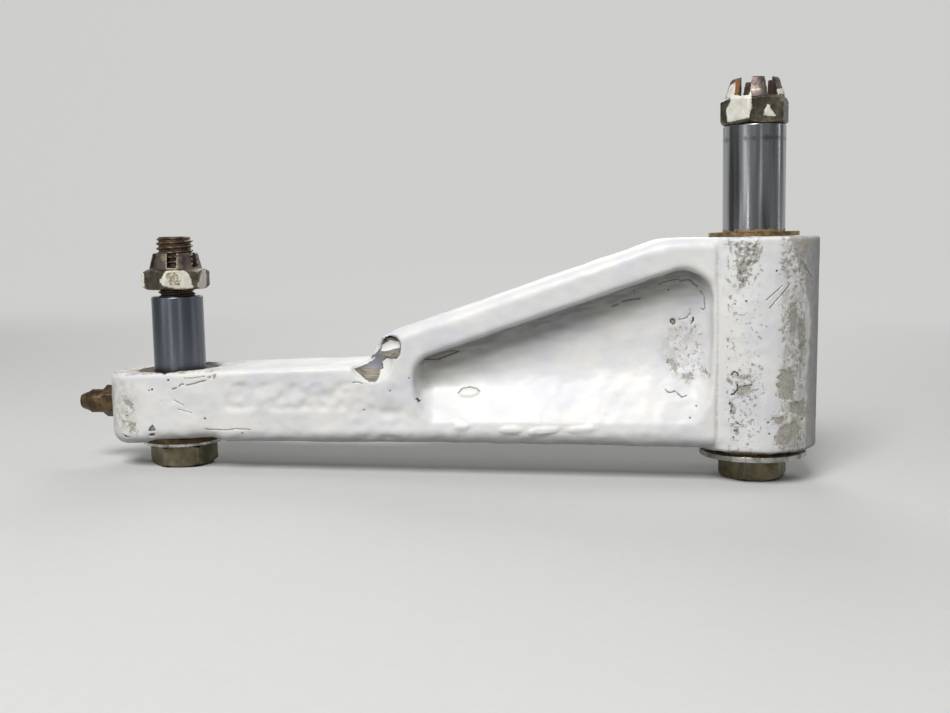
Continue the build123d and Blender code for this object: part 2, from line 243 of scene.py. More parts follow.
def on_arm(depth: float, *pixels: tuple[float, float]) -> tuple[tuple[float, float], ...]:
    """Lays points of the photograph on an upright face of the arm's front.

    Args:
        depth: How far the face stands before the arm's middle plane, in millimetres.
        *pixels: The points as read on the photograph.

    Returns:
        X and Z of each, to a tenth of a millimetre.
    """
    eye = np.array(SIGHT.place)
    spots = []
    for pixel in pixels:
        sight = SIGHT.toward(pixel)
        spot = eye + sight * (-depth - eye[1]) / sight[1]
        spots.append((round(spot[0], 1), round(spot[2], 1)))
    return tuple(spots)


def on_barrel(*pixels: tuple[float, float]) -> tuple[tuple[float, float], ...]:
    """Lays points of the photograph on the barrel's wall.

    Args:
        *pixels: The points as read on the photograph.

    Returns:
        The way round from the barrel's front, taken at whole degrees, and Z of each.
    """
    eye = np.array(SIGHT.place)
    spots = []
    for pixel in pixels:
        sight = SIGHT.toward(pixel)
        square = sight[0] ** 2 + sight[1] ** 2
        half = sight[0] * eye[0] + sight[1] * eye[1]
        rest = eye[0] ** 2 + eye[1] ** 2 - BARREL_RADIUS**2
        spot = eye - sight * (half + math.sqrt(half**2 - square * rest)) / square
        degrees = round(math.degrees(math.atan2(spot[0], -spot[1])))
        spots.append((round(math.radians(degrees) * BARREL_RADIUS, 1), round(spot[2], 1)))
    return tuple(spots)


def on_nut(axis: Vector, nearer: float, *pixels: tuple[float, float]) -> tuple[tuple[float, float], ...]:
    """Lays points of the photograph on an upright plane before a pin, square to the sight of it.

    Args:
        axis: A point on the pin's axis.
        nearer: How far the plane stands before that axis, in millimetres.
        *pixels: The points as read on the photograph.

    Returns:
        How far to the right of the axis each lies, and its Z.
    """
    eye = np.array(SIGHT.place)
    pin = np.array((axis.x, axis.y))
    away = (pin - eye[:2]) / np.linalg.norm(pin - eye[:2])
    across = np.array((away[1], -away[0]))
    spots = []
    for pixel in pixels:
        sight = SIGHT.toward(pixel)
        spot = eye + sight * ((pin - nearer * away - eye[:2]) @ away) / (sight[:2] @ away)
        spots.append((round(float((spot[:2] - pin) @ across), 1), round(spot[2], 1)))
    return tuple(spots)


# The outlines of the marks were read, in pixels, on enlarged crops of the photograph. Seven points
# were then shifted by up to 0.3 of a pixel, so that they round to the tenth that had been used before.
# Points outside on_arm, on_barrel and on_nut were set or moved one by one, in millimetres.

# Marks on the arm's front, as X and Z. Paint gone to the metal, and pits.
ARM_CHIPS = (
    Mark(on_arm(9.7, (148.8, 430.3), (150, 427.5), (153.3, 424.3), (156.6, 430.3), (150, 431.5))),
    Mark(on_arm(9.7, (148.8, 436), (150, 434), (153, 433.2), (156, 434), (154, 436), (151, 437))),
    Mark(on_arm(9, (121, 434), (127, 435.5), (131, 438), (126, 437))),
    Mark(on_arm(10.3, (415, 399), (417, 398.5), (418.5, 400.5), (420.5, 401), (418, 403), (417, 401))),
    Mark(
        (
            *on_arm(7, (423, 360), (430, 356.5), (440, 352.5), (452, 350), (460, 351.5), (452, 355)),
            (-66.0, 25.9),
        ),
    ),
    Mark(on_arm(5.4, (670, 320), (672, 318.3), (675, 319.5), (676, 323), (673.5, 325), (670.5, 323))),
    Mark(on_arm(6.5, (692, 324.5), (693, 317.5), (694.5, 318), (694.3, 321))),
    *dots(on_arm(9.8, (205.3, 418.5), (168.5, 380), (152.5, 389.5)), 0.42),
    *dots(
        (
            *on_arm(9.8, (243, 433), (149.5, 390.5)),
            *on_arm(10.3, (364, 410), (390, 391), (409, 378.5)),
            (-18.2, 24.9),
        ),
        0.3,
    ),
    *dots(
        (
            *on_arm(9.8, (126.5, 412), (126, 416)),
            *((-13.9, 14.0), (-12.6, 16.3), (-17.9, 39.9), (-25.0, 39.8)),
        ),
        0.3,
    ),
)
# Cracks in the enamel
ARM_CRACKS = (
    Mark(on_arm(5.6, (658, 284.5), (664, 282), (669, 280.8), (674, 279.5), (679, 279)), 0.26),
    Mark(on_arm(5.6, (680, 281.5), (686, 279.5), (690, 280), (693, 284), (697, 286)), 0.24),
    Mark(on_arm(5.4, (612, 306.5), (615, 305), (618, 304)), 0.28),
    Mark(on_arm(5.4, (622, 301.5), (628, 300), (634, 299), (640, 299)), 0.24),
    Mark(on_arm(9, (702, 292), (705.5, 297), (706, 304), (706.5, 309), (704, 311), (702, 309.5)), 0.2),
    Mark(on_arm(5.6, (680, 320), (686, 318.5), (690, 314), (690, 309)), 0.16),
    Mark(
        (
            *on_arm(8.8, (666, 390.5), (668, 392.8), (671, 393.3), (675, 391.8), (678, 394)),
            (-15.4, 18.0),
            *on_arm(8.8, (686.5, 395.8)),
        ),
        0.2,
    ),
    Mark(((-61.9, 18.8), (-61.0, 19.7), (-59.3, 20.0), (-57.9, 19.7), (-57.2, 19.1)), 0.2),
    Mark(on_arm(9.9, (173, 389), (176.5, 388.3)), 0.3),
    Mark(on_arm(9.9, (179.5, 386), (181.5, 384.3), (183.5, 384.5)), 0.3),
    Mark(on_arm(9.9, (187, 385), (194, 384), (200, 382), (206, 380.4)), 0.24),
    Mark(on_arm(9.9, (185, 378.3), (194, 378), (205, 376.4)), 0.14),
    Mark(on_arm(9.9, (174, 400), (184, 405)), 0.14),
    Mark(on_arm(9.9, (178, 409.5), (192, 413)), 0.14),
    Mark(on_arm(10, (205, 429.5), (228, 430), (236, 428.6), (250, 429.5)), 0.16),
    Mark(on_arm(10.2, (353, 382.5), (357, 382), (362, 383.5)), 0.2),
)
# Spots where the tan primer shows
ARM_TAN = (
    Mark(on_arm(9.6, (703.5, 369), (705, 368.8), (709.5, 375.5), (706, 376), (703.5, 373))),
    Mark(on_arm(6.2, (667, 361), (672, 360), (680, 364), (676, 372.3), (672, 368))),
    Mark(on_arm(7, (682, 374), (692, 373), (692, 377), (688.3, 381), (684, 378))),
    Mark(on_arm(9.2, (128, 398), (133, 402), (134.5, 409), (130, 409), (125, 404), (123, 398))),
    Mark(on_arm(9.3, (131, 422), (136, 424), (138, 429), (136, 432), (132, 429), (123, 420))),
    Mark(on_arm(9.9, (209, 378), (213, 375.5), (216, 376.5), (213, 378.5))),
)
# Runs and blisters that stand out of the enamel
ARM_RUNS = (
    Mark(on_arm(10.5, (452, 427), (458, 424), (468, 423), (472, 426), (466, 430), (456, 430))),
    Mark(on_arm(10.5, (498, 430), (505, 426.5), (516, 426), (525, 429), (518, 433.5), (506, 434))),
    Mark(
        on_arm(
            10.5,
            *((526, 431), (536, 427), (552, 426), (562, 427), (556, 433), (540, 435.5), (530, 435)),
        ),
    ),
    Mark(on_arm(10.5, (563, 430), (575, 426), (590, 425), (600, 428), (590, 432), (572, 433))),
    Mark(
        (
            *((-61.9, 18.9), (-60.8, 19.5), (-59.3, 19.8), (-57.6, 19.3), (-57.3, 18.6)),
            *((-59.1, 18.0), (-61.2, 18.0)),
        ),
    ),
)
# The rough patch at the pocket's right end
POCKET_ROUGH = Mark(
    (
        *on_arm(5.6, (664, 330), (672, 318), (690, 312)),
        *((-11.0, 31.6), (-10.8, 22.4)),
        *on_arm(5.6, (686, 384)),
        (-17.6, 22.4),
        *on_arm(5.6, (662, 356)),
    ),
)
# The step where a cutter has gone through the enamel, and the painted highlights and painted shade that show
# how the light falls in it
STEP_CUT = Mark(
    on_arm(
        10.4,
        *((354, 369.5), (360, 367.6), (366, 365), (371, 361.6), (372, 357), (375.5, 355.2)),
        *((378.5, 351.5), (381, 349), (382, 344), (384, 340), (387, 337), (391, 336), (396, 338)),
        *((399, 340.5), (401, 345), (400.8, 351), (400, 355), (397, 358.5), (391, 359.2)),
        *((387, 359.3), (382.5, 363), (384, 369.5), (380.5, 370), (380, 374), (379, 378), (377, 381)),
        *((374, 382.3), (369, 382), (365, 379.8), (361, 376), (357, 372)),
    ),
)
STEP_PAINTED_HIGHLIGHT = (
    Mark(
        (
            *on_arm(10.4, (381, 352)),
            *((-76.5, 28.0), (-75.0, 28.4), (-73.3, 28.8)),
            *on_arm(10.4, (400.3, 343)),
            (-75.4, 30.4),
            *on_arm(10.4, (383, 346)),
        ),
    ),
    Mark(on_arm(10.4, (353, 368.5), (360, 366.8), (366, 364.5), (371, 361.5), (375, 359)), 0.34),
    *dots(((-78.8, 26.5),), 0.4),
)
STEP_GREY = (
    Mark(
        on_arm(
            10.4,
            *((360, 369.7), (380, 370.3), (382, 366), (383, 358), (382, 353), (374, 357), (371, 364)),
        ),
    ),
)
STEP_PAINTED_SHADE_AND_GRIME = (
    Mark(((-82.6, 25.2), (-81.3, 25.7), (-80.0, 26.4), (-79.3, 27.2), (-78.5, 27.7)), 0.24),
    Mark(((-76.5, 30.5), (-76.0, 31.0), *on_arm(10.4, (391, 337), (396, 338.8))), 0.5),
    Mark(((-77.1, 25.6), *on_arm(10.4, (384, 369.5))), 0.3),
    Mark(((-76.9, 26.2), *on_arm(10.4, (387, 359.3)), (-75.0, 26.6), (-73.8, 26.9)), 0.24),
)

# Marks on the barrel, as the way round from its front towards +X, and Z
BARREL_CHIPS = (
    Mark(on_barrel((731.3, 375.5), (732, 373.5), (734.5, 371.8), (737, 373), (738, 375.5)), 0.3),
    Mark(on_barrel((730.5, 395), (733.5, 394), (736, 391), (737.5, 388), (737, 385)), 0.34),
    Mark(on_barrel((738, 388.5), (744, 386.5), (752, 385.5)), 0.2),
    *dots(
        on_barrel((735, 304), (746, 301), (777, 271), (729, 404), (731, 411), (734, 431), (737, 424)),
        0.36,
    ),
    *dots((*on_barrel((733, 438), (778, 378), (803, 420)), (1.3, 13.4), (1.6, 11.1)), 0.36),
)
BARREL_CRACKS = (
    Mark(on_barrel((766, 300), (782, 286)), 0.2),
    Mark(on_barrel((790, 285), (770, 308)), 0.2),
    Mark(on_barrel((803, 262), (812, 278)), 0.16),
)
BARREL_TAN = (
    Mark(
        (
            *on_barrel((734, 374.5), (742, 377), (750, 376)),
            (-2.3, 22.2),
            *on_barrel((742, 380.5), (736, 378)),
        ),
    ),
    Mark(on_barrel((738, 389), (750, 386), (751, 391), (741, 398), (737, 396))),
    Mark(
        (
            (5.6, 37.3),
            *on_barrel((798, 303), (799, 318), (797, 334)),
            (6.0, 31.1),
            *on_barrel((790, 318)),
        ),
    ),
    Mark((*on_barrel((798, 318)), (9.8, 33.7), (10.2, 28.6), *on_barrel((803, 361), (799, 340)))),
    Mark(on_barrel((782, 370), (795, 371), (797, 386), (793, 401), (779, 400), (777, 385))),
    Mark((*on_barrel((792, 402)), (10.0, 17.5), *on_barrel((806, 414), (799, 418)), (6.0, 15.4))),
    Mark(on_barrel((771, 418), (779, 414), (785, 420), (782, 427), (774, 424))),
    Mark(
        (
            *on_barrel((774, 440), (780, 428), (798, 420), (802, 430)),
            (6.0, 8.5),
            *on_barrel((776, 446)),
        ),
    ),
)
BARREL_FLAKES = (
    Mark(
        (
            *((-6.0, 49.7), (-0.2, 49.6)),
            *on_barrel((760, 262), (751, 266), (750, 289), (738, 288)),
            (-5.4, 45.0),
        ),
    ),
    Mark((*on_barrel((729, 400), (736, 402)), (-5.2, 14.7), *on_barrel((729, 415)))),
    Mark(on_barrel((734, 420), (741, 420), (740, 432), (734, 440))),
)


# Marks on the nuts, as the way across them from the pin's axis, seen from the front, and Z
HINGE_NUT_CREAM = (
    Mark(
        on_nut(
            HINGE_AXIS,
            6,
            *((727, 121), (726, 112), (726, 107), (730, 101), (730, 97), (724, 97), (725, 91)),
            *((727, 86), (731, 83), (735, 81), (735.5, 87), (734, 94), (741, 95), (744, 93)),
            *((748, 93.5), (751, 91), (751.5, 97), (751.5, 103), (752, 108), (750, 113), (750, 118)),
            *((744, 119.5), (737, 120), (730, 121.3)),
        ),
    ),
    Mark(
        on_nut(
            HINGE_AXIS,
            6,
            *((767.5, 104.5), (770, 105), (771, 109), (774, 112), (776.3, 115), (775, 116.5)),
            *((763.5, 115.2), (765, 110)),
        ),
    ),
    Mark(
        (
            *on_nut(
                HINGE_AXIS,
                5,
                *((777, 88), (781.5, 86.2), (785, 85.5), (787, 88), (790, 90.5), (786, 91.5)),
                (783, 93),
            ),
            (4.5, 78.8),
        ),
    ),
)
HINGE_NUT_RUST = (
    Mark(
        on_nut(
            HINGE_AXIS,
            5,
            *((734, 80), (737, 76.5), (739.5, 80), (740, 86), (739.5, 91), (737, 95), (734.5, 94)),
            (735, 88),
        ),
    ),
)
# Painted highlights on the nut's edges
HINGE_NUT_GLINT = (
    Mark(on_nut(HINGE_AXIS, 6, (752, 89.3), (760, 88.7)), 0.4),
    Mark(((5.2, 77.6), (6.6, 76.9)), 0.3),
)
KNEE_NUT_CREAM = (
    Mark(
        on_nut(
            KNEE_AXIS,
            6,
            *((159.5, 280), (162, 276.5), (165, 271.5), (170, 270.5), (175, 270.2), (181, 270.5)),
            *((186, 271.5), (190, 276), (191.2, 280), (192.5, 284), (194, 288), (190, 289)),
            *((186, 288.5), (178, 289), (170, 287.5), (163, 286), (159.5, 283)),
        ),
    ),
    Mark(
        on_nut(
            KNEE_AXIS,
            3,
            *((141.5, 265), (144, 266), (142.5, 272), (144, 276), (144, 283), (144.5, 288)),
            *((142, 289.5), (139.3, 278)),
        ),
    ),
    Mark(
        on_nut(
            KNEE_AXIS,
            3,
            *((201.5, 270.5), (205.5, 270), (206.8, 276), (206.5, 287), (201, 289.5), (198, 288)),
            *((197, 285), (199, 280)),
        ),
    ),
)
KNEE_NUT_GOLD = (
    Mark(
        on_nut(
            KNEE_AXIS,
            6,
            *((166, 273), (170, 271.8), (175, 273), (179, 276.5), (180.7, 281), (180, 285)),
            *((170, 285), (165.5, 277)),
        ),
    ),
    Mark(on_nut(KNEE_AXIS, 4, (195.2, 277), (199, 276), (199.5, 284), (195.2, 287), (191, 284))),
)


def linked(name: str, data: bpy.types.ID) -> bpy.types.Object:
    """Makes an object of a mesh, a lamp or a camera and links it to the scene."""
    made = bpy.data.objects.new(name, data)
    bpy.context.scene.collection.objects.link(made)
    return made


def put(name: str, mesh: bpy.types.Mesh, finish: bpy.types.Material) -> bpy.types.Object:
    """Makes an object of a mesh and gives it its finish.

    Args:
        name: Name of the piece.
        mesh: Its mesh, in metres, already in place.
        finish: Its material.

    Returns:
        The new object, linked to the scene.
    """
    mesh.name = name
    mesh.materials.clear()
    mesh.materials.append(finish)
    return linked(name, mesh)


def plain_mesh(piece: bpy.types.Object) -> bpy.types.Mesh:
    """The mesh of an object with its modifiers carried out.

    Args:
        piece: The object, which is removed.

    Returns:
        A new mesh that no longer depends on the object.
    """
    depsgraph = bpy.context.evaluated_depsgraph_get()
    mesh = bpy.data.meshes.new_from_object(piece.evaluated_get(depsgraph), depsgraph=depsgraph)
    bpy.data.objects.remove(piece)
    return mesh


@contextmanager
def editing(mesh: bpy.types.Mesh) -> Iterator[bmesh.types.BMesh]:
    """Opens a mesh for editing and writes it back when the block ends."""
    edit = bmesh.new()
    edit.from_mesh(mesh)
    yield edit
    edit.to_mesh(mesh)
    edit.free()


def solid_copy(node: str) -> bpy.types.Object:
    """A watertight copy of a solid's triangles, to be worked on.

    Args:
        node: Name of the solid.

    Returns:
        A new object that holds the merged copy.
    """
    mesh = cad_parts[node].data.copy()
    with editing(mesh) as edit:
        bmesh.ops.remove_doubles(edit, verts=edit.verts, dist=2e-6)
    return linked(node + "_copy", mesh)


def coordinates(mesh: bpy.types.Mesh) -> np.ndarray:
    """A mesh's vertices in millimetres, one row each."""
    flat = np.empty(len(mesh.vertices) * 3)
    mesh.vertices.foreach_get("co", flat)
    return flat.reshape(-1, 3) / MM


def directions(mesh: bpy.types.Mesh) -> np.ndarray:
    """A mesh's vertex normals, one row each."""
    flat = np.empty(len(mesh.vertices) * 3)
    mesh.vertex_normals.foreach_get("vector", flat)
    return flat.reshape(-1, 3)


def move_vertices(mesh: bpy.types.Mesh, points: np.ndarray) -> None:
    """Puts a mesh's vertices at new places, in millimetres."""
    mesh.vertices.foreach_set("co", (points * MM).ravel())
    mesh.update()


def hollows(mesh: bpy.types.Mesh, passes: int) -> np.ndarray:
    """How deep each vertex lies below its neighbours, in millimetres.

    Args:
        mesh: The mesh to measure.
        passes: How often the neighbours' mean is taken, which sets the width of what counts.

    Returns:
        Positive values in grooves and hollows, negative on edges.
    """
    pairs = np.empty(len(mesh.edges) * 2, int)
    mesh.edges.foreach_get("vertices", pairs)
    a, b = pairs.reshape(-1, 2).T
    start = coordinates(mesh)
    normals = directions(mesh)
    count = np.bincount(a, minlength=len(start)) + np.bincount(b, minlength=len(start))
    points = start.copy()
    for _ in range(passes):
        total = np.zeros_like(points)
        for axis in range(3):
            behind = np.bincount(a, points[b, axis], len(points))
            total[:, axis] = behind + np.bincount(b, points[a, axis], len(points))
        points = total / np.maximum(count, 1)[:, None]
    return ((points - start) * normals).sum(axis=1)


def store(mesh: bpy.types.Mesh, name: str, values: np.ndarray) -> None:
    """Writes one number for each vertex under a name that a finish can read."""
    layer = mesh.attributes.new(name, "FLOAT", "POINT")
    layer.data.foreach_set("value", values.astype(np.float32))


def lathe(profile: list[tuple[float, float]], axis: Vector, steps: int = 128) -> bpy.types.Mesh:
    """A round body turned from a profile about an upright axis.

    Args:
        profile: Radius and height of each point in millimetres, from the bottom round to the bottom.
        axis: A point on the axis, in millimetres.
        steps: Number of facets round the body.

    Returns:
        A closed mesh whose faces point outwards.
    """
    mesh = bpy.data.meshes.new("lathe")
    with editing(mesh) as edit:
        rings = []
        for radius, z in profile:
            ring = []
            for step in range(steps):
                angle = math.tau * step / steps
                at = Vector((radius * math.cos(angle), radius * math.sin(angle), z)) + axis
                ring.append(edit.verts.new(at * MM))
            rings.append(ring)
        for low, high in zip(rings, rings[1:] + rings[:1]):
            for step in range(steps):
                after = (step + 1) % steps
                edit.faces.new((low[step], low[after], high[after], high[step]))
        bmesh.ops.remove_doubles(edit, verts=edit.verts, dist=1e-7)
        bmesh.ops.recalc_face_normals(edit, faces=edit.faces)
    smooth(mesh, 35)
    return mesh


def smooth(mesh: bpy.types.Mesh, limit: float) -> None:
    """Shades a mesh smooth but for edges that are sharper than a limit in degrees."""
    mesh.shade_smooth()
    mesh.set_sharp_from_angle(angle=math.radians(limit))


def remeshed(node: str, voxel: float, keep: tuple[float, float] | None = None) -> bpy.types.Mesh:
    """A fine even mesh over a solid, laid back on its surface.

    Args:
        node: Name of the solid.
        voxel: Edge of one cell in millimetres.
        keep: Bottom and top of the stretch to keep, or None for all of it.

    Returns:
        The new mesh, closed.
    """
    copy = solid_copy(node)
    if keep is not None:
        trim(copy.data, keep[0], keep[1])
    target = linked("target", copy.data.copy())
    cells = copy.modifiers.new("cells", "REMESH")
    cells.mode = "VOXEL"
    cells.voxel_size = voxel * MM
    wrap = copy.modifiers.new("wrap", "SHRINKWRAP")
    wrap.target = target
    wrap.wrap_method = "NEAREST_SURFACEPOINT"
    mesh = plain_mesh(copy)
    bpy.data.objects.remove(target)
    return mesh


def refined(mesh: bpy.types.Mesh, near: Callable[[np.ndarray], np.ndarray], rounds: int) -> None:
    """Halves the edges of a mesh where it carries fine marks.

    Args:
        mesh: The mesh, which is changed.
        near: Tells for points in millimetres how far the nearest mark is.
        rounds: How often the edges there are halved.
    """
    with editing(mesh) as edit:
        for _ in range(rounds):
            edit.verts.index_update()
            points = np.array([vert.co for vert in edit.verts]) / MM
            close = np.abs(near(points)) < 0.55
            short = [e for e in edit.edges if close[e.verts[0].index] and close[e.verts[1].index]]
            bmesh.ops.subdivide_edges(edit, edges=short, cuts=1, use_grid_fill=True)
            bmesh.ops.triangulate(edit, faces=[face for face in edit.faces if len(face.verts) > 4])


def trim(mesh: bpy.types.Mesh, bottom: float, top: float) -> None:
    """Cuts a closed mesh off below and above two heights in millimetres and closes the ends."""
    with editing(mesh) as edit:
        for height, away in ((bottom, -1), (top, 1)):
            every = list(edit.verts) + list(edit.edges) + list(edit.faces)
            plane = {"plane_co": (0, 0, height * MM), "plane_no": (0, 0, away)}
            cut = bmesh.ops.bisect_plane(edit, geom=every, clear_outer=True, **plane)
            rim = [e for e in cut["geom_cut"] if isinstance(e, bmesh.types.BMEdge)]
            if rim:
                bmesh.ops.triangle_fill(edit, edges=rim, use_beauty=True)
        bmesh.ops.recalc_face_normals(edit, faces=edit.faces)


def thinned(mesh: bpy.types.Mesh, triangles: int) -> bpy.types.Mesh:
    """Takes triangles out of a mesh where it is flattest.

    Args:
        mesh: The mesh, which is used up.
        triangles: Most triangles to leave.

    Returns:
        The thinned mesh.
    """
    holder = linked("thin", mesh)
    mesh.calc_loop_triangles()
    collapse = holder.modifiers.new("thin", "DECIMATE")
    collapse.ratio = min(1.0, triangles / max(1, len(mesh.loop_triangles)))
    collapse.use_collapse_triangulate = True
    return plain_mesh(holder)


def linear(code: str) -> tuple[float, float, float, float]:
    """Turns an sRGB hex colour to linear values.

    Args:
        code: Six hex digits, such as "E6E5E0".

    Returns:
        Red, green, blue and alpha from 0 to 1.
    """
    values = []
    for start in (0, 2, 4):
        part = int(code[start : start + 2], 16) / 255
        values.append(part / 12.92 if part <= 0.04045 else ((part + 0.055) / 1.055) ** 2.4)
    return values[0], values[1], values[2], 1.0


def per(millimetres: float) -> float:
    """The scale of a noise whose lumps are that many millimetres wide."""
    return 1 / (millimetres * MM)


# Blender's names of the nodes that the finishes use
NOISE = "ShaderNodeTexNoise"
SUM = "ShaderNodeMath"
BAND = "ShaderNodeMapRange"
BLEND = "ShaderNodeMix"
FIELD = "ShaderNodeAttribute"
STRETCH = "ShaderNodeMapping"


def add(tree: bpy.types.NodeTree, kind: str, inputs: dict | None = None, **settings) -> bpy.types.Node:
    """Adds a node with its settings, values and links.

    Args:
        tree: The tree to add it to.
        kind: Blender's name of the node type.
        inputs: For each input, by name or number: a value, a hex colour, an output, or a node whose
            first output in use is meant.
        **settings: Attributes of the node itself.

    Returns:
        The new node.
    """
    node = tree.nodes.new(kind)
    for key, value in settings.items():
        setattr(node, key, value)
    for key, value in (inputs or {}).items():
        if isinstance(value, bpy.types.Node):
            value = next(output for output in value.outputs if output.enabled)
        if isinstance(value, bpy.types.NodeSocket):
            tree.links.new(value, node.inputs[key])
        else:
            node.inputs[key].default_value = linear(value) if isinstance(value, str) else value
    return node


def seen_share(tree: bpy.types.NodeTree) -> bpy.types.Node:
    """Tells the light that reaches the camera, straight or through a mirror or glass, from the rest.

    Args:
        tree: The tree to add the test to.

    Returns:
        A node that gives 1 for that light and 0 for the rest.
    """
    path = add(tree, "ShaderNodeLightPath").outputs
    direct = add(tree, SUM, {0: path["Is Camera Ray"], 1: path["Is Glossy Ray"]}, operation="MAXIMUM")
    return add(tree, SUM, {0: direct, 1: path["Is Transmission Ray"]}, operation="MAXIMUM")


@dataclass(frozen=True)
class Finish:
    """What every finish here shares: a name, a fresh tree, and the way that it is closed."""

    name: str

    def start(self) -> tuple[bpy.types.NodeTree, bpy.types.NodeSocket]:
        """Makes an empty material and gives its tree and the place on the object."""
        material = bpy.data.materials.new(self.name)
        material.use_nodes = True
        material.node_tree.nodes.clear()
        return material.node_tree, add(material.node_tree, "ShaderNodeTexCoord").outputs["Object"]

    def close(self, tree: bpy.types.NodeTree, relief, depth: float, inputs: dict) -> bpy.types.Material:
        """Joins a relief and the surface's inputs to the output.

        Args:
            tree: The material's tree.
            relief: Height from 0 to 1, as a node.
            depth: What a height of 1 stands for, in millimetres.
            inputs: The surface's inputs by name.

        Returns:
            The finished material.
        """
        normal = add(tree, "ShaderNodeBump", {"Height": relief, "Distance": depth * MM})
        surface = add(tree, "ShaderNodeBsdfPrincipled", {**inputs, "Normal": normal})
        add(tree, "ShaderNodeOutputMaterial", {"Surface": surface})
        return bpy.data.materials[self.name]


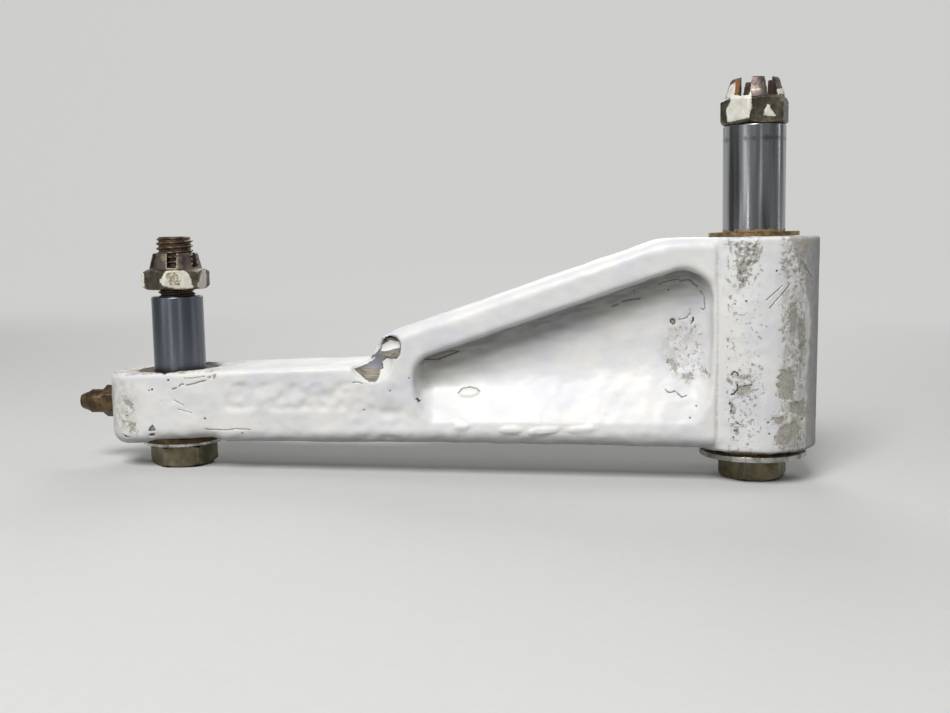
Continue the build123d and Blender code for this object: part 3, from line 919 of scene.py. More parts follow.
@dataclass(frozen=True)
class ChippedEnamel(Finish):
    """White enamel brushed thickly over a sand casting: glossy and lumpy, which gives long soft lights.

    It is stained with grease in its hollows, flakes in fine scales to grey and tan primer, and is cut
    through to streaky bare metal at the step.
    """

    white: str = "EDECE8"
    cool: str = "E2E2E6"
    # grey of thin paint, also painted shade on the barrel's side turned from the light
    thin: str = "B4B3B3"
    grime: str = "908C82"
    # grey of soot and of painted shade in the pockets' coves
    soot_and_shade: str = "7E7E7A"
    stain: str = "B5AC92"
    primer: str = "9C9784"
    scale: str = "B8B6AF"
    pit: str = "736F66"
    # dark metal at a chip's rim, as painted shade of the rim
    metal: str = "55514A"
    cut_metal: str = "756F63"
    cut_streak: str = "9C978A"
    cut_grey: str = "8A8890"
    # painted highlight on the cut, and painted shade with some grime
    cut_painted_highlight: str = "F4F4F2"
    cut_painted_shade_and_grime: str = "34302B"

    def build(self) -> bpy.types.Material:
        """Builds the material from the fields that the casting's mesh carries."""
        tree, place = self.start()
        fine = add(tree, NOISE, {"Vector": place, "Scale": per(0.45), "Detail": 4.0, "Roughness": 0.6})
        speck = add(tree, NOISE, {"Vector": place, "Scale": per(0.85), "Detail": 6.0, "Roughness": 0.7})
        cloud = add(tree, NOISE, {"Vector": place, "Scale": per(9.0), "Detail": 2.0})
        patch = add(tree, NOISE, {"Vector": place, "Scale": per(1.8), "Detail": 5.0, "Roughness": 0.62})
        ragged = add(tree, SUM, {0: fine, 1: 0.36, 2: -0.18}, operation="MULTIPLY_ADD")
        tattered = add(tree, SUM, {0: speck, 1: 6.0, 2: -2.9}, operation="MULTIPLY_ADD")
        fields = {}
        drawn_marks = ("chip", "crack", "bare", "bright", "grey", "dark")
        for name in (*drawn_marks, "tan", "wear", "stain", "thin", "dirt", "soot_and_shade"):
            fields[name] = add(tree, FIELD, attribute_name=name).outputs["Fac"]
        # Sharp edges: each distance is roughened a little and then cut off within a tenth of a millimetre
        edges = {}
        for name in drawn_marks:
            rough_edge = add(tree, SUM, {0: fields[name], 1: ragged}, operation="ADD")
            edges[name] = add(tree, BAND, {0: rough_edge, 1: 0.05, 2: -0.05})
        hairline = add(tree, SUM, {0: edges["crack"], 1: 0.75}, operation="MULTIPLY")
        tan_edge = add(tree, SUM, {0: fields["tan"], 1: tattered}, operation="ADD")
        tan = add(tree, BAND, {0: tan_edge, 1: 0.1, 2: -0.25})
        loose = add(tree, SUM, {0: fields["wear"], 1: 0.3, 2: speck}, operation="MULTIPLY_ADD")
        flake = add(tree, BAND, {0: loose, 1: 0.70, 2: 0.735})
        deep = add(tree, BAND, {0: loose, 1: 0.80, 2: 0.83})
        # Paint: white and cooler in clouds; grey where it is thin and as painted shade on the barrel's side
        # away from the light; dirt, soot and painted shade in the coves, and stains over it
        clouded = add(tree, BAND, {0: cloud, 1: 0.42, 2: 0.66})
        paint = add(tree, BLEND, {0: clouded, 6: self.white, 7: self.cool}, data_type="RGBA")
        tilt = (0.0, math.radians(18), 0.0)
        drawn = add(tree, STRETCH, {"Vector": place, "Rotation": tilt, "Scale": (0.25, 1.0, 1.0)})
        wisps = add(tree, NOISE, {"Vector": drawn, "Scale": per(1.6), "Detail": 4.0})
        coats = (
            ("thin", {0: patch, 1: 0.2, 2: 0.55, 3: 0.55, 4: 1.0}, self.thin),
            ("dirt", {0: speck, 1: 0.35, 2: 0.6, 4: 0.45}, self.grime),
            ("soot_and_shade", {0: wisps, 1: 0.3, 2: 0.6, 3: 0.6, 4: 1.0}, self.soot_and_shade),
            ("stain", {0: patch, 1: 0.4, 2: 0.62}, self.stain),
        )
        for name, breakup, shade in coats:
            share = add(tree, SUM, {0: fields[name], 1: add(tree, BAND, breakup)}, operation="MULTIPLY")
            paint = add(tree, BLEND, {0: share, 6: paint, 7: shade}, data_type="RGBA")
        # The cut: streaks run along the arm, as the cutter left them
        along = add(tree, STRETCH, {"Vector": place, "Scale": (0.08, 1.0, 1.0)})
        tool = add(tree, NOISE, {"Vector": along, "Scale": per(0.4), "Detail": 3.0})
        streaked = add(tree, BAND, {0: tool, 1: 0.4, 2: 0.62})
        cut = add(tree, BLEND, {0: streaked, 6: self.cut_metal, 7: self.cut_streak}, data_type="RGBA")
        # on the cut, the bright marks are painted highlights and the dark marks are painted shade with some
        # grime
        for name, shade in (("grey", self.cut_grey), ("bright", self.cut_painted_highlight), ("dark", self.cut_painted_shade_and_grime)):
            cut = add(tree, BLEND, {0: edges[name], 6: cut, 7: shade}, data_type="RGBA")
        # Under the paint: grey scales with darker pits, tan primer, metal in the chips, darkened at their
        # rims as painted shade, and the cut
        scales = add(tree, BLEND, {0: deep, 6: self.scale, 7: self.pit}, data_type="RGBA")
        chalky = add(tree, BAND, {0: fine, 1: 0.35, 2: 0.6})
        primer = add(tree, BLEND, {0: chalky, 6: self.primer, 7: self.scale}, data_type="RGBA")
        # a chip is lighter metal in its middle and darker at its rim, where the dark is painted shade
        floor = add(tree, BAND, {0: fields["chip"], 1: -0.3, 2: -0.12})
        inside = add(tree, BLEND, {0: floor, 6: self.cut_streak, 7: self.metal}, data_type="RGBA")
        under = (
            (flake, scales),
            (tan, primer),
            (edges["chip"], inside),
            (hairline, self.pit),
            (edges["bare"], cut),
        )
        colour = paint
        for share, shade in under:
            colour = add(tree, BLEND, {0: share, 6: colour, 7: shade}, data_type="RGBA")
        shine = {0: edges["bare"], 1: edges["bright"]}
        open_metal = add(tree, SUM, shine, operation="SUBTRACT", use_clamp=True)
        lost = add(tree, SUM, {0: flake, 1: tan}, operation="MAXIMUM")
        matt = add(tree, SUM, {0: lost, 1: fields["thin"]}, operation="MAXIMUM")
        dull = add(tree, SUM, {0: matt, 1: open_metal}, operation="MAXIMUM")
        gloss = add(tree, BAND, {0: cloud, 1: 0.3, 2: 0.7, 3: 0.36, 4: 0.46})
        rough = add(tree, SUM, {0: dull, 1: 0.2, 2: gloss}, operation="MULTIPLY_ADD")
        opened = add(tree, SUM, {0: edges["chip"], 1: edges["crack"]}, operation="MAXIMUM")
        gone = add(tree, SUM, {0: lost, 1: opened}, operation="MAXIMUM")
        lumps = add(tree, NOISE, {"Vector": place, "Scale": per(1.5), "Detail": 3.0})
        lumps = add(tree, SUM, {0: lumps, 1: 0.5}, operation="MULTIPLY")
        swell = add(tree, SUM, {0: fine, 1: 0.12, 2: lumps}, operation="MULTIPLY_ADD")
        crust = add(tree, SUM, {0: fields["wear"], 1: fine}, operation="MULTIPLY")
        swell = add(tree, SUM, {0: crust, 1: 1.3, 2: swell}, operation="MULTIPLY_ADD")
        relief = add(tree, SUM, {0: gone, 1: -0.55, 2: swell}, operation="MULTIPLY_ADD")
        coat = add(tree, SUM, {0: 0.12, 1: dull}, operation="SUBTRACT", use_clamp=True)
        return self.close(
            tree,
            relief,
            0.1,
            {
                "Base Color": colour,
                "Roughness": rough,
                "Specular IOR Level": 0.3,
                "Metallic": add(tree, SUM, {0: open_metal, 1: 0.4}, operation="MULTIPLY"),
                "Coat Weight": coat,
                "Coat Roughness": 0.24,
            },
        )


@dataclass(frozen=True)
class WornSleeve(Finish):
    """Steel tube ground and polished round, so that each lamp gives one long upright light on it.

    It has faint flutes and smears along it, whose dark upright streaks are partly painted reflection, a
    rubbed band round it, and rust creeping up from one end.
    """

    steel: str
    smear_and_reflection: str
    rust: str
    rust_bottom: float
    rust_top: float
    band_z: float
    band: float
    smear_and_reflection_share: float
    roughness: float

    def build(self) -> bpy.types.Material:
        """Builds the material."""
        tree, place = self.start()
        upright = add(tree, STRETCH, {"Vector": place, "Scale": (1.0, 1.0, 0.04)})
        streak = add(tree, NOISE, {"Vector": upright, "Scale": per(1.7), "Detail": 2.0})
        spots = add(tree, NOISE, {"Vector": place, "Scale": per(1.4), "Detail": 5.0, "Roughness": 0.68})
        z = add(tree, "ShaderNodeSeparateXYZ", {0: place}).outputs[2]
        low = add(tree, BAND, {0: z, 1: self.rust_bottom * MM, 2: self.rust_top * MM, 3: 1.0, 4: 0.0})
        spotted = add(tree, SUM, {0: spots, 1: 0.42}, operation="ADD")
        creep = add(tree, SUM, {0: low, 1: spotted}, operation="MULTIPLY")
        rusty = add(tree, BAND, {0: creep, 1: 0.62, 2: 0.74})
        off = add(tree, SUM, {0: z, 1: self.band_z * MM}, operation="SUBTRACT")
        off = add(tree, SUM, {0: off}, operation="ABSOLUTE")
        rubbed = add(tree, BAND, {0: off, 1: 0.1 * MM, 2: 0.9 * MM, 3: self.band, 4: 0.0})
        # dark upright smears, partly painted reflection streaks
        smeared_and_reflected = add(tree, BAND, {0: streak, 1: 0.38, 2: 0.62, 3: 0.0, 4: self.smear_and_reflection_share})
        soiled_and_reflected = add(tree, SUM, {0: smeared_and_reflected, 1: rubbed}, operation="MAXIMUM")
        colour = add(tree, BLEND, {0: soiled_and_reflected, 6: self.steel, 7: self.smear_and_reflection}, data_type="RGBA")
        colour = add(tree, BLEND, {0: rusty, 6: colour, 7: self.rust}, data_type="RGBA")
        gloss = add(tree, BAND, {0: streak, 1: 0.3, 2: 0.7, 3: self.roughness, 4: self.roughness + 0.12})
        return self.close(
            tree,
            streak,
            0.012,
            {
                "Base Color": colour,
                "Roughness": add(tree, SUM, {0: rusty, 1: 0.4, 2: gloss}, operation="MULTIPLY_ADD"),
                "Metallic": add(tree, BAND, {0: rusty, 3: 1.0, 4: 0.2}),
            },
        )


@dataclass(frozen=True)
class PaintedSteel(Finish):
    """Plated steel gone brown, with scraps of cream paint, tan stains and rust: dull, with rubbed edges and
    painted glints.
    """

    crown: str = "5A4C4C"
    flats: str = "4E4C40"
    worn: str = "7F776A"
    cream: str = "DEDACB"
    chalk: str = "F0EDE2"
    gold: str = "8C7442"
    rust: str = "8C5C2E"
    # light colour of rubbed edges, also of the glint marks, which are painted highlights
    edge: str = "A79F90"
    roughness: float = 0.34

    def build(self) -> bpy.types.Material:
        """Builds the material from the paint and rust fields on the piece's mesh."""
        tree, place = self.start()
        fine = add(tree, NOISE, {"Vector": place, "Scale": per(0.4), "Detail": 4.0})
        patch = add(tree, NOISE, {"Vector": place, "Scale": per(1.3), "Detail": 5.0, "Roughness": 0.64})
        broad = add(tree, NOISE, {"Vector": place, "Scale": per(2.6), "Detail": 4.0})
        ragged = add(tree, SUM, {0: fine, 1: 0.7, 2: -0.35}, operation="MULTIPLY_ADD")
        fields = {}
        for name in ("paint", "gold", "rust", "flats", "edge"):
            fields[name] = add(tree, FIELD, attribute_name=name).outputs["Fac"]
        shares = {}
        for name in ("paint", "gold", "rust"):
            roughened = add(tree, SUM, {0: fields[name], 1: ragged}, operation="ADD")
            shares[name] = add(tree, BAND, {0: roughened, 1: 0.06, 2: -0.1})
        rubbed = add(tree, BAND, {0: broad, 1: 0.42, 2: 0.68, 3: 0.0, 4: 0.7})
        browned = add(tree, BAND, {0: patch, 1: 0.58, 2: 0.68, 3: 0.0, 4: 0.55})
        patchy = add(tree, BAND, {0: patch, 1: 0.4, 2: 0.6})
        worn_edge_and_glint = add(tree, SUM, {0: fields["edge"], 1: patchy}, operation="MULTIPLY")
        flecked = add(tree, BAND, {0: fine, 1: 0.4, 2: 0.6})
        coat = add(tree, BLEND, {0: patchy, 6: self.cream, 7: self.chalk}, data_type="RGBA")
        scab = add(tree, BLEND, {0: flecked, 6: self.gold, 7: self.cream}, data_type="RGBA")
        coat = add(tree, BLEND, {0: shares["gold"], 6: coat, 7: scab}, data_type="RGBA")
        layers = (
            (fields["flats"], self.flats),
            (rubbed, self.worn),
            (browned, self.gold),
            (worn_edge_and_glint, self.edge),
            (shares["rust"], self.rust),
            (shares["paint"], coat),
        )
        colour = self.crown
        for share, shade in layers:
            colour = add(tree, BLEND, {0: share, 6: colour, 7: shade}, data_type="RGBA")
        covered = add(tree, SUM, {0: shares["paint"], 1: shares["rust"]}, operation="MAXIMUM")
        relief = add(tree, SUM, {0: shares["paint"], 1: 0.7, 2: fine}, operation="MULTIPLY_ADD")
        rough = {0: patch, 1: 0.3, 2: 0.7, 3: self.roughness, 4: self.roughness + 0.22}
        return self.close(
            tree,
            relief,
            0.05,
            {
                "Base Color": colour,
                "Roughness": add(tree, BAND, rough),
                "Metallic": add(tree, BAND, {0: covered, 3: 0.85, 4: 0.0}),
            },
        )


@dataclass(frozen=True)
class StainedMetal(Finish):
    """Plain plated or bare metal with stains, rubbed lighter in patches, so that its shine comes and goes."""

    metal: str
    worn: str
    stain: str
    grain: float = 1.2
    roughness: float = 0.35
    metallic: float = 0.9

    def build(self) -> bpy.types.Material:
        """Builds the material."""
        tree, place = self.start()
        coarse, middling = per(self.grain * 1.8), per(self.grain)
        patch = add(tree, NOISE, {"Vector": place, "Scale": coarse, "Detail": 4.0, "Roughness": 0.6})
        spots = add(tree, NOISE, {"Vector": place, "Scale": middling, "Detail": 5.0, "Roughness": 0.65})
        fine = add(tree, NOISE, {"Vector": place, "Scale": per(self.grain * 0.35), "Detail": 3.0})
        stained = add(tree, BAND, {0: spots, 1: 0.52, 2: 0.68})
        rubbed = add(tree, BAND, {0: patch, 1: 0.4, 2: 0.6})
        colour = add(tree, BLEND, {0: rubbed, 6: self.metal, 7: self.worn}, data_type="RGBA")
        colour = add(tree, BLEND, {0: stained, 6: colour, 7: self.stain}, data_type="RGBA")
        gloss = add(tree, BAND, {0: fine, 1: 0.3, 2: 0.7, 3: self.roughness, 4: self.roughness + 0.15})
        return self.close(
            tree,
            fine,
            0.02,
            {
                "Base Color": colour,
                "Roughness": add(tree, SUM, {0: stained, 1: 0.2, 2: gloss}, operation="MULTIPLY_ADD"),
                "Metallic": add(tree, BAND, {0: stained, 3: self.metallic, 4: self.metallic * 0.5}),
            },
        )


@dataclass(frozen=True)
class StudioPaper(Finish):
    """Matt paper for the floor and the wall: it takes the link's shadow and gives no shine.

    It is pale to the camera and in the metal, and grey to the light, so that the coves stay as dark as
    they are over a dark cloth. The wall behind is evenly pale.
    """

    tone: str = "D2D2D0"
    fibre: str = "D6D6D4"
    grey: str = "787876"
    wall: str = "D4D4D2"
    wall_near: float = 70.0
    wall_far: float = 480.0

    def build(self) -> bpy.types.Material:
        """Builds the material."""
        tree, place = self.start()
        fibres = add(tree, NOISE, {"Vector": place, "Scale": per(2.0), "Detail": 2.0})
        depth = add(tree, "ShaderNodeSeparateXYZ", {0: place}).outputs[1]
        seen = seen_share(tree)
        reach = {0: depth, 1: self.wall_near * MM, 2: self.wall_far * MM, 3: 0.0, 4: 0.9}
        distant = add(tree, BAND, reach, interpolation_type="SMOOTHSTEP")
        glow = add(tree, SUM, {0: distant, 1: seen}, operation="MULTIPLY")
        relief = add(tree, "ShaderNodeBump", {"Height": fibres, "Distance": 0.02 * MM})
        pale = add(tree, BLEND, {0: fibres, 6: self.tone, 7: self.fibre}, data_type="RGBA")
        colour = add(tree, BLEND, {0: seen, 6: self.grey, 7: pale}, data_type="RGBA")
        inputs = {"Base Color": colour, "Roughness": 0.9, "Specular IOR Level": 0.1, "Normal": relief}
        paper = add(tree, "ShaderNodeBsdfPrincipled", inputs)
        even = add(tree, "ShaderNodeEmission", {"Color": self.wall, "Strength": 1.0})
        both = add(tree, "ShaderNodeMixShader", {0: glow, 1: paper, 2: even})
        add(tree, "ShaderNodeOutputMaterial", {"Surface": both})
        return bpy.data.materials[self.name]


@dataclass
class Casting:
    """The white casting: the solid's own form with thick paint, flakes, stains and bare cuts on it."""

    voxel: float = 0.44
    triangles: int = 190_000
    lump: float = 0.14
    reach: float = 13.28
    cut_depth: float = 7.2
    cut_slant: float = 0.2
    ceiling: tuple[float, float, float] = (-70.6, 25.7, 0.33)
    ceiling_top: float = 42.6
    # where the barrel's grey side begins, as Z and degrees round from its front: thin paint with painted
    # shade
    grey_shaded_side: tuple[tuple[float, float], ...] = (
        *((9.2, 46.0), (17.4, 45.0), (25.5, 47.0), (33.5, 53.0)),
        *((37.7, 45.0), (43.7, 39.0), (46.7, 30.0), (49.7, 24.0)),
    )

    def laid_flat(self, p: np.ndarray) -> tuple[np.ndarray, np.ndarray]:
        """Where each point lies along the arm's front, and how far round the barrel's wall.

        Args:
            p: Positions in millimetres.

        Returns:
            X on the front, and the way round the wall in millimetres. Each is FAR for the other points.
        """
        wall = (np.hypot(p[:, 0], p[:, 1]) > 11.6) & (p[:, 0] > -9)
        front = np.where((p[:, 1] < 0) & ~wall, p[:, 0], FAR)
        return front, np.where(wall, np.arctan2(p[:, 0], -p[:, 1]) * BARREL_RADIUS, FAR)

    def marks(self, p: np.ndarray) -> dict[str, np.ndarray]:
        """Signed distances to the drawn marks, by the name that the finish reads."""
        z = p[:, 2]
        front, way = self.laid_flat(p)
        step = np.where(p[:, 1] < -self.cut_depth, p[:, 0] + self.cut_slant * (p[:, 1] + ARM_FACE), FAR)
        return {
            "chip": merged(nearest(ARM_CHIPS, front, z), nearest(BARREL_CHIPS, way, z)),
            "crack": merged(nearest(ARM_CRACKS, front, z), nearest(BARREL_CRACKS, way, z)),
            "tan": merged(nearest(ARM_TAN, front, z), nearest(BARREL_TAN, way, z)),
            "bare": nearest((STEP_CUT,), step, z),
            "bright": nearest(STEP_PAINTED_HIGHLIGHT, step, z),
            "grey": nearest(STEP_GREY, step, z),
            "dark": nearest(STEP_PAINTED_SHADE_AND_GRIME, step, z),
        }

    def nearest_mark(self, p: np.ndarray) -> np.ndarray:
        """Distance to the nearest edge of any drawn mark, in millimetres."""
        return np.minimum.reduce([np.abs(distance) for distance in self.marks(p).values()])

    def loose_paint(self, p: np.ndarray, n: np.ndarray) -> np.ndarray:
        """How readily the paint flakes at each point, from 0 to 1."""
        x, y, z = p.T
        front, way = self.laid_flat(p)
        worst = 0.85 * ramp(nearest(BARREL_FLAKES, way, z), 0.5, -0.5)
        seam = ramp(way, 2.0, 4.5) * ramp(way, 11, 9.5) * (0.5 + 0.3 * ripple(p, 7, 31))
        band = ramp(way, -8.5, -6.5) * ramp(way, 3, -2) * (0.46 + 0.25 * ripple(p, 6, 32))
        back = 0.36 * ramp(np.abs(way) * (way < 99), 24, 28) * ramp(ripple(p, 8, 33), -0.2, 0.4)
        pocket = 0.38 * ramp(nearest((POCKET_ROUGH,), front, z), 0.8, -0.8) * ramp(np.abs(y), 9.8, 9.2)
        end = ramp(x, -20, -17) * ramp(x, -8, -11)
        behind = 0.4 * end * ramp(y, 4, 5) * ramp(y, 9.8, 9.2) * ramp(z, 20, 25)
        knee = ramp(z, 22.8, 23.2) * ramp(x, -108, -114)
        top = ramp(n[:, 2], 0.5, 0.8) * knee * (0.5 + 0.3 * ripple(p, 4, 36))
        return np.clip(np.maximum.reduce([worst, seam, band, back, pocket, behind, top]), 0, 1)

    def stains(self, p: np.ndarray, n: np.ndarray) -> np.ndarray:
        """How far the paint is stained at each point, from 0 to 1."""
        x, y, z = p.T
        front, way = self.laid_flat(p)
        seam = ramp(way, 3, 5) * ramp(way, 11.5, 9) * (0.5 + 0.5 * ripple(p, 9, 34))
        knee = 0.6 * ramp(front, -129, -134) * ramp(z, 9, 12) * ramp(z, 24, 20)
        ring = 0.8 * ramp(n[:, 2], 0.4, 0.8) * ramp(z, 22.6, 23.2) * ramp(x, -105, -120)
        pocket = 0.4 * ramp(nearest((POCKET_ROUGH,), front, z), 1.2, -0.6) * ramp(np.abs(y), 9.6, 8.8)
        return np.clip(np.maximum.reduce([seam, knee, ring, pocket]), 0, 1)

    def soot_and_shade(self, p: np.ndarray, n: np.ndarray) -> np.ndarray:
        """How far each pocket's ceiling, the top of its web and its left end are darkened by soot and by
        painted shade, from 0 to 1.
        """
        x, y, z = p.T
        inside = ramp(np.abs(y), 10.0, 8.8) * ramp(x, -71, -69) * ramp(x, -9, -12)
        under = np.minimum(self.ceiling[1] + self.ceiling[2] * (x - self.ceiling[0]), self.ceiling_top)
        ceiling = 0.85 * ramp(-n[:, 2], 0.05, 0.7)
        web = 0.5 * ramp(z - under, -11, -3)
        end = 0.6 * hump(x, -69.5, 3.2) * hump(z, 21.5, 3.5)
        dark = np.maximum.reduce([ceiling, web, end])
        return inside * dark * ramp(z, 17, 20) * ramp(n[:, 2], 0.6, 0.3)

    def thin_paint_and_shade(self, p: np.ndarray) -> np.ndarray:
        """Where the paint is thin, smooth and grey, from 0 to 1: the barrel's side away from the arm, whose
        grey also stands as painted shade of the side turned from the light.
        """
        way = self.laid_flat(p)[1]
        angle = np.degrees(way / BARREL_RADIUS)
        heights, angles = zip(*self.grey_shaded_side)
        past = angle - np.interp(p[:, 2], heights, angles) + 3 * ripple(p, 2.4, 35)
        return ramp(past, -1.5, 2.0) * ramp(angle, 150, 125)

    def height(self, p: np.ndarray, n: np.ndarray) -> np.ndarray:
        """How far the painted surface stands out from the solid, in millimetres."""
        x, y, z = p.T
        front, way = self.laid_flat(p)
        drawn = self.marks(p)
        hinge_reach = np.hypot(x, y)
        knee_reach = np.hypot(x - KNEE_AXIS.x, y)
        outside = ramp(hinge_reach, 9.1, 10.2) * ramp(knee_reach, 9.3, 9.8)
        wall = ramp(hinge_reach, 11.3, 12.3) * ramp(x, -9.5, -8.0)
        lumps = self.lump * ripple(p, 6.0, 1) + 0.6 * self.lump * ripple(p, 2.6, 2)
        lumps += 0.2 * self.lump * ripple(p, 1.2, 3)
        side = ramp(np.abs(n[:, 1]), 0.3, 0.7) * (1 - wall)
        bead = 0.22 * hump(z, 11.2, 1.3) * ramp(x, -95, -92) * ramp(x, -14, -18)
        panel = ramp(x, -113, -110.5) * ramp(x, -82.5, -85) * ramp(z, 15.2, 16.6) * ramp(z, 22.2, 21)
        cast = panel * (0.3 * ripple(p, 3.4, 7) + 0.14 * ripple(p, 1.6, 8) - 0.14)
        valley = -0.4 * hump(x + 76.5, 0, 5.0) * hump(z, 15.2, 1.6)
        knoll = 0.34 * hump(x + 76.2, 0, 1.6) * hump(z, 20.0, 2.6)
        brushed = 0.16 * ripple(p, 2.1, 14) * ramp(x, -90, -84) * ramp(x, -68, -74) * ramp(z, 24, 21)
        beads = 0.12 * ripple(p, 2.4, 15) * hump(z, 10.6, 2.2) * ramp(x, -14, -18)
        runs = 0.32 * ramp(nearest(ARM_RUNS, front, z), 0.15, -0.4)
        worked = bead + cast + valley + knoll + brushed + beads + runs
        total = lumps * (1 - 0.8 * self.thin_paint_and_shade(p)) + worked * side
        total += 0.14 * self.loose_paint(p, n) * ripple(p, 1.3, 9) - 0.08 * wall
        total -= 0.2 * ramp(drawn["chip"], 0.1, -0.12) + 0.13 * ramp(drawn["crack"], 0.08, -0.08)
        total -= 0.08 * ramp(drawn["tan"], 0.1, -0.2)
        total *= ramp(drawn["bare"], -0.1, 0.5) * outside
        return np.where(wall > 0.5, np.minimum(total, self.reach - hinge_reach), total)

    def build(self, finish: bpy.types.Material) -> bpy.types.Object:
        """Builds the dressed casting.

        Args:
            finish: The enamel.

        Returns:
            The piece that stands for the casting's solid.
        """
        mesh = remeshed("link_casting", self.voxel)
        refined(mesh, self.nearest_mark, 2)
        p, n = coordinates(mesh), directions(mesh)
        move_vertices(mesh, p + n * self.height(p, n)[:, None])
        mesh.calc_loop_triangles()
        log.info("casting: %d triangles before thinning", len(mesh.loop_triangles))
        if len(mesh.loop_triangles) > self.triangles:
            mesh = thinned(mesh, self.triangles)
        p, n = coordinates(mesh), directions(mesh)
        for name, distance in self.marks(p).items():
            store(mesh, name, distance)
        store(mesh, "wear", self.loose_paint(p, n))
        store(mesh, "stain", self.stains(p, n))
        store(mesh, "thin", self.thin_paint_and_shade(p))
        store(mesh, "soot_and_shade", self.soot_and_shade(p, n))
        store(mesh, "dirt", ramp(hollows(mesh, 3), 0.06, 0.24))
        mesh.shade_smooth()
        return put("casting_skin", mesh, finish)


@dataclass
class ThreadedEnd:
    """The rolled thread at a bolt's end, made by a rule: a helical ridge on a round bar."""

    bolt: str
    radius: float = 3.97
    pitch: float = 1.058
    depth: float = 0.58
    chamfer: float = 0.7
    facets: int = 96
    rows_per_turn: int = 12

    def tree(self) -> bpy.types.NodeTree:
        """Builds the tree that rolls a flat grid into a threaded bar."""
        tree = bpy.data.node_groups.new("rolled_thread", "GeometryNodeTree")
        face = tree.interface
        face.new_socket("Geometry", in_out="OUTPUT", socket_type="NodeSocketGeometry")
        for name in ("Radius", "Pitch", "Depth", "Length", "Chamfer"):
            face.new_socket(name, in_out="INPUT", socket_type="NodeSocketFloat")
        face.new_socket("Facets", in_out="INPUT", socket_type="NodeSocketInt")
        face.new_socket("Rows", in_out="INPUT", socket_type="NodeSocketInt")
        face.new_socket("Finish", in_out="INPUT", socket_type="NodeSocketMaterial")
        given = add(tree, "NodeGroupInput").outputs
        counts = {"Size X": 1.0, "Size Y": 1.0, "Vertices X": given["Facets"], "Vertices Y": given["Rows"]}
        grid = add(tree, "GeometryNodeMeshGrid", counts)
        spot = add(tree, "ShaderNodeSeparateXYZ", {0: add(tree, "GeometryNodeInputPosition")}).outputs
        turn = add(tree, SUM, {0: spot[0], 1: math.tau}, operation="MULTIPLY")
        share = add(tree, SUM, {0: spot[1], 1: 0.5}, operation="ADD")
        up = add(tree, SUM, {0: share, 1: given["Length"]}, operation="MULTIPLY")
        # The ridge climbs one pitch in a turn, and its flanks are cut from flat crests to flat roots
        climbed = add(tree, SUM, {0: up, 1: given["Pitch"]}, operation="DIVIDE")
        phase = add(tree, SUM, {0: climbed, 1: spot[0]}, operation="SUBTRACT")
        tooth = add(tree, SUM, {0: phase, 1: 0.5}, operation="PINGPONG")
        flank = add(tree, BAND, {0: tooth, 1: 0.08, 2: 0.42})
        root = add(tree, SUM, {0: flank, 1: given["Depth"]}, operation="MULTIPLY")
        reach = add(tree, SUM, {0: given["Radius"], 1: root}, operation="SUBTRACT")
        # The end is bevelled
        bevel = add(tree, SUM, {0: given["Length"], 1: given["Chamfer"]}, operation="SUBTRACT")
        past = add(tree, SUM, {0: up, 1: bevel}, operation="SUBTRACT")
        past = add(tree, SUM, {0: past, 1: 0.0}, operation="MAXIMUM")
        limit = add(tree, SUM, {0: given["Radius"], 1: past}, operation="SUBTRACT")
        reach = add(tree, SUM, {0: reach, 1: limit}, operation="MINIMUM")
        where = {2: up}
        for axis, wave in enumerate(("COSINE", "SINE")):
            swing = add(tree, SUM, {0: turn}, operation=wave)
            where[axis] = add(tree, SUM, {0: reach, 1: swing}, operation="MULTIPLY")
        where = add(tree, "ShaderNodeCombineXYZ", where)
        rolled = add(tree, "GeometryNodeSetPosition", {"Geometry": grid, "Position": where})
        joined = add(tree, "GeometryNodeMergeByDistance", {"Geometry": rolled, "Distance": 1e-6})
        real = add(tree, "GeometryNodeRealizeInstances", {0: joined})
        dressed = add(tree, "GeometryNodeSetMaterial", {"Geometry": real, "Material": given["Finish"]})
        add(tree, "NodeGroupOutput", {0: dressed})
        return tree

    def build(self, axis: Vector, bottom: float, top: float, finish: bpy.types.Material) -> bpy.types.Object:
        """Builds the threaded bar.

        Args:
            axis: A point on the bolt's axis, in millimetres.
            bottom: Height of its lower end.
            top: Height of the bolt's end.
            finish: The bolt's finish.

        Returns:
            The piece, with a closed end.
        """
        length = top - bottom
        holder = linked("thread", bpy.data.meshes.new("thread"))
        modifier = holder.modifiers.new("thread", "NODES")
        modifier.node_group = self.tree()
        values = {
            "Radius": self.radius * MM,
            "Pitch": self.pitch * MM,
            "Depth": self.depth * MM,
            "Length": length * MM,
            "Chamfer": self.chamfer * MM,
            "Facets": self.facets + 1,
            "Rows": int(length / self.pitch * self.rows_per_turn),
            "Finish": finish,
        }
        for item in modifier.node_group.interface.items_tree:
            if item.in_out == "INPUT":
                modifier[item.identifier] = values[item.name]
        mesh = plain_mesh(holder)
        mesh.transform(Matrix.Translation((axis + Vector((0, 0, bottom))) * MM))
        with editing(mesh) as edit:
            bmesh.ops.remove_doubles(edit, verts=edit.verts, dist=1e-6)
            bmesh.ops.holes_fill(edit, edges=[e for e in edit.edges if e.is_boundary])
            bmesh.ops.recalc_face_normals(edit, faces=edit.faces)
        smooth(mesh, 40)
        return put(self.bolt + "_thread", mesh, finish)


